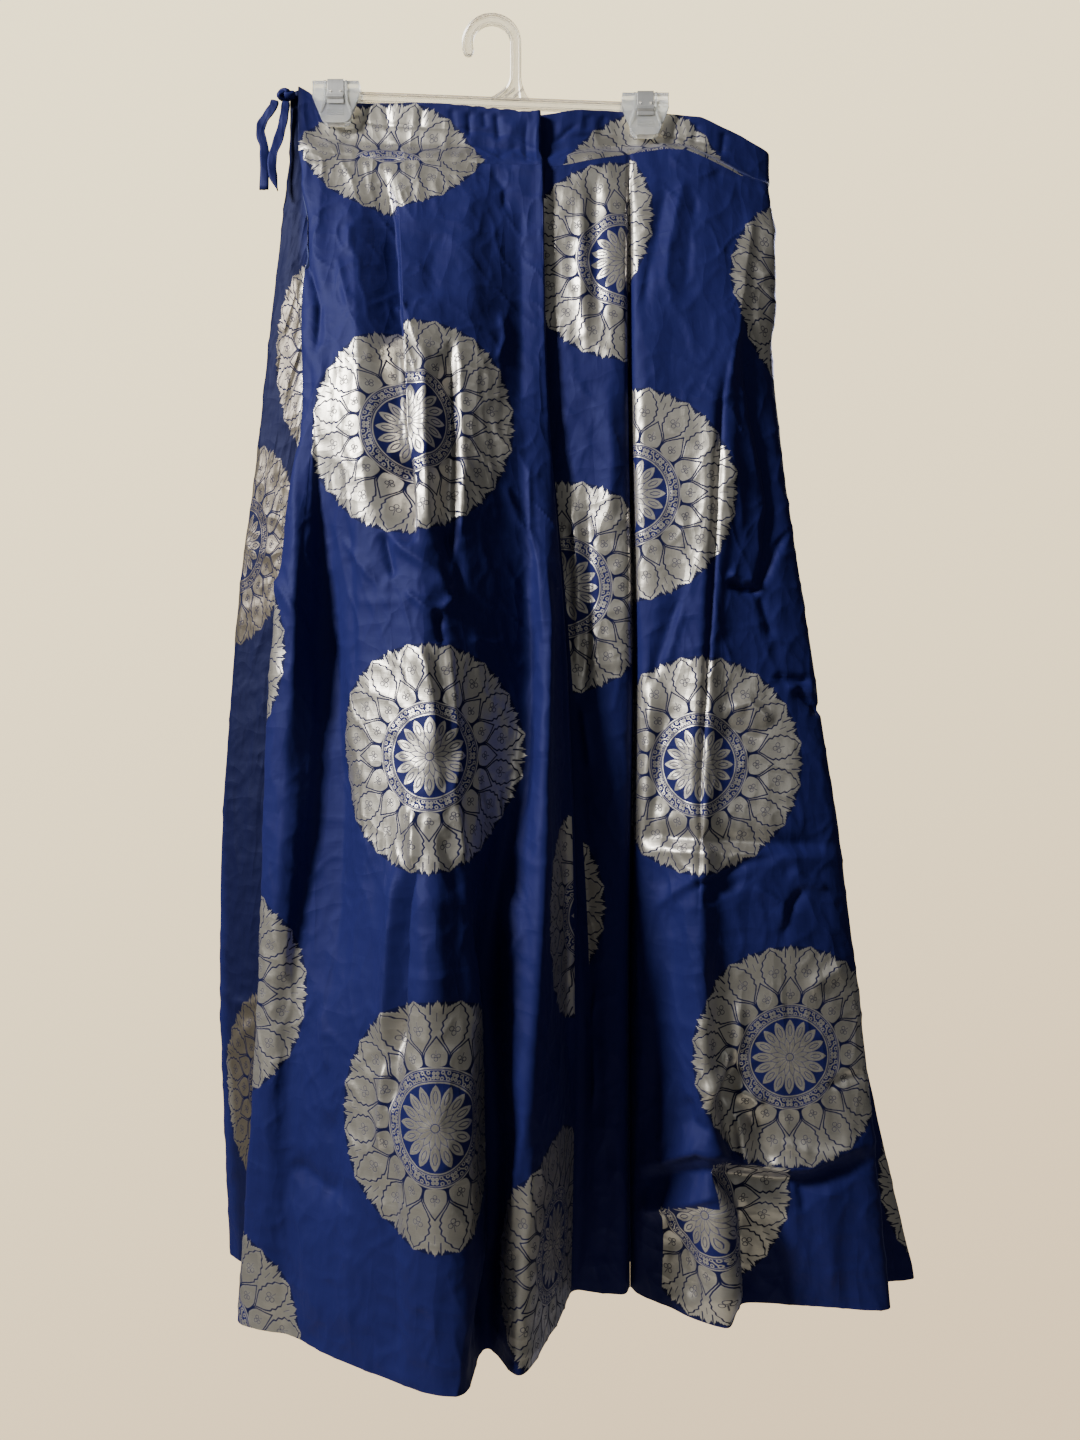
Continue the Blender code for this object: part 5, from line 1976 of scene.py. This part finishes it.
@dataclass
class Studio:
    """The camera, the lights, the pale backdrop and the pale floor."""

    floor_height: float = -2.2
    floor_half: float = 1.4
    floor_colours: tuple = ((0.62, 0.58, 0.50), (0.68, 0.64, 0.56))
    # painted light on the backdrop: its tone towards the top left and towards the bottom right
    high_tone: tuple = (0.88, 0.75, 0.46)
    low_tone: tuple = (0.54, 0.41, 0.25)
    backdrop_strength: float = 2.7
    room_light: tuple = (0.90, 0.90, 0.90)
    room_strength: float = 0.085
    lamps: tuple = (
        Lamp("key", (-1.9, -1.25, 0.75), (0.02, 0.0, -0.5), 0.5, 112.0, (1.0, 0.98, 0.94)),
        Lamp("fill", (0.9, -2.0, 0.3), (0.05, 0.0, -0.6), 0.8, 1.8, (0.95, 0.97, 1.0)),
        Lamp("behind", (1.2, 1.8, 0.6), (0.05, 0.0, -0.6), 1.4, 40.0, (1.0, 0.97, 0.92)),
    )

    def build(self) -> None:
        """Set up everything that isn't the object."""
        data = bpy.data.cameras.new("camera")
        data.lens = LENS_MM
        data.sensor_width = SENSOR_MM
        data.clip_start = 0.01
        camera = self.stand("camera", data, CAMERA_PLACE)
        camera.rotation_euler = (math.radians(90), 0, 0)
        bpy.context.scene.camera = camera
        bpy.context.scene.world = self.surroundings()
        for lamp in self.lamps:
            data = bpy.data.lights.new(lamp.name, "AREA")
            data.size = lamp.size
            data.energy = lamp.power
            data.color = lamp.colour
            light = self.stand(lamp.name, data, lamp.place)
            aim = Vector(lamp.aim) - Vector(lamp.place)
            light.rotation_euler = aim.to_track_quat("-Z", "Y").to_euler()
        tool = bmesh.new()
        bmesh.ops.create_grid(tool, x_segments=2, y_segments=2, size=self.floor_half)
        bmesh.ops.translate(tool, vec=(0, 0, self.floor_height), verts=tool.verts)
        made, tree, shader = fresh("pale_floor")
        tone = picked(tree, speckle(tree, object_place(tree), (6, 6, 6)), *self.floor_colours)
        fill(tree, shader, {"Base Color": tone, "Roughness": 0.8})
        object_from(tool, "floor", made)

    def stand(self, name: str, data: bpy.types.ID, place: tuple) -> Piece:
        """Put a camera or a light into the scene.

        Args:
            name: Its name.
            data: What it is.
            place: Where it stands.

        Returns:
            The object.
        """
        made = bpy.data.objects.new(name, data)
        made.location = place
        bpy.context.scene.collection.objects.link(made)
        return made

    def surroundings(self) -> bpy.types.World:
        """Soft light from all round, with the backdrop where the camera looks past the object.

        Returns:
            The world.
        """
        world = bpy.data.worlds.new("room")
        world.use_nodes = True
        tree = world.node_tree
        soft = tree.nodes["Background"]
        fill(tree, soft, {"Color": (*self.room_light, 1.0), "Strength": self.room_strength})
        x, _, z = split(tree, new_node(tree, "TexCoord", {}).outputs["Generated"])
        # painted light: the backdrop is lighter towards the top left and darker towards the bottom right
        tone = picked(tree, (z - x * 0.35) * 0.8 + 0.5, self.low_tone, self.high_tone)
        backdrop = new_node(tree, "Background", {"Color": tone, "Strength": self.backdrop_strength})
        path = new_node(tree, "LightPath", {})
        seen_through = Field(tree, path.outputs["Is Camera Ray"]).highest(
            Field(tree, path.outputs["Is Transmission Ray"]))
        mix = new_node(tree, "MixShader", {"Fac": seen_through, 1: soft.outputs["Background"],
                                           2: backdrop.outputs["Background"]})
        fill(tree, tree.nodes["World Output"], {"Surface": mix.outputs["Shader"]})
        return world


CLIP_MIDDLES = ((Side.LEFT, -133.5 * MM), (Side.RIGHT, 132.6 * MM))
CLIP_RISE = 7.7 * MM             # of the clips' tops over the bar's middle


def main() -> None:
    """Build the object and its surroundings."""
    Studio().build()
    cloth = Cloth()
    LOG.info("cloth of %d rows and %d columns", *cloth.base.shape[:2])
    Garment(cloth).build()
    Drawstring().build()
    hanger = Hanger()
    hanger.build()
    for side, x in CLIP_MIDDLES:
        Clip(side, x, hanger.bar_height(x) + CLIP_RISE).build()


if __name__ == "__main__":
    main()
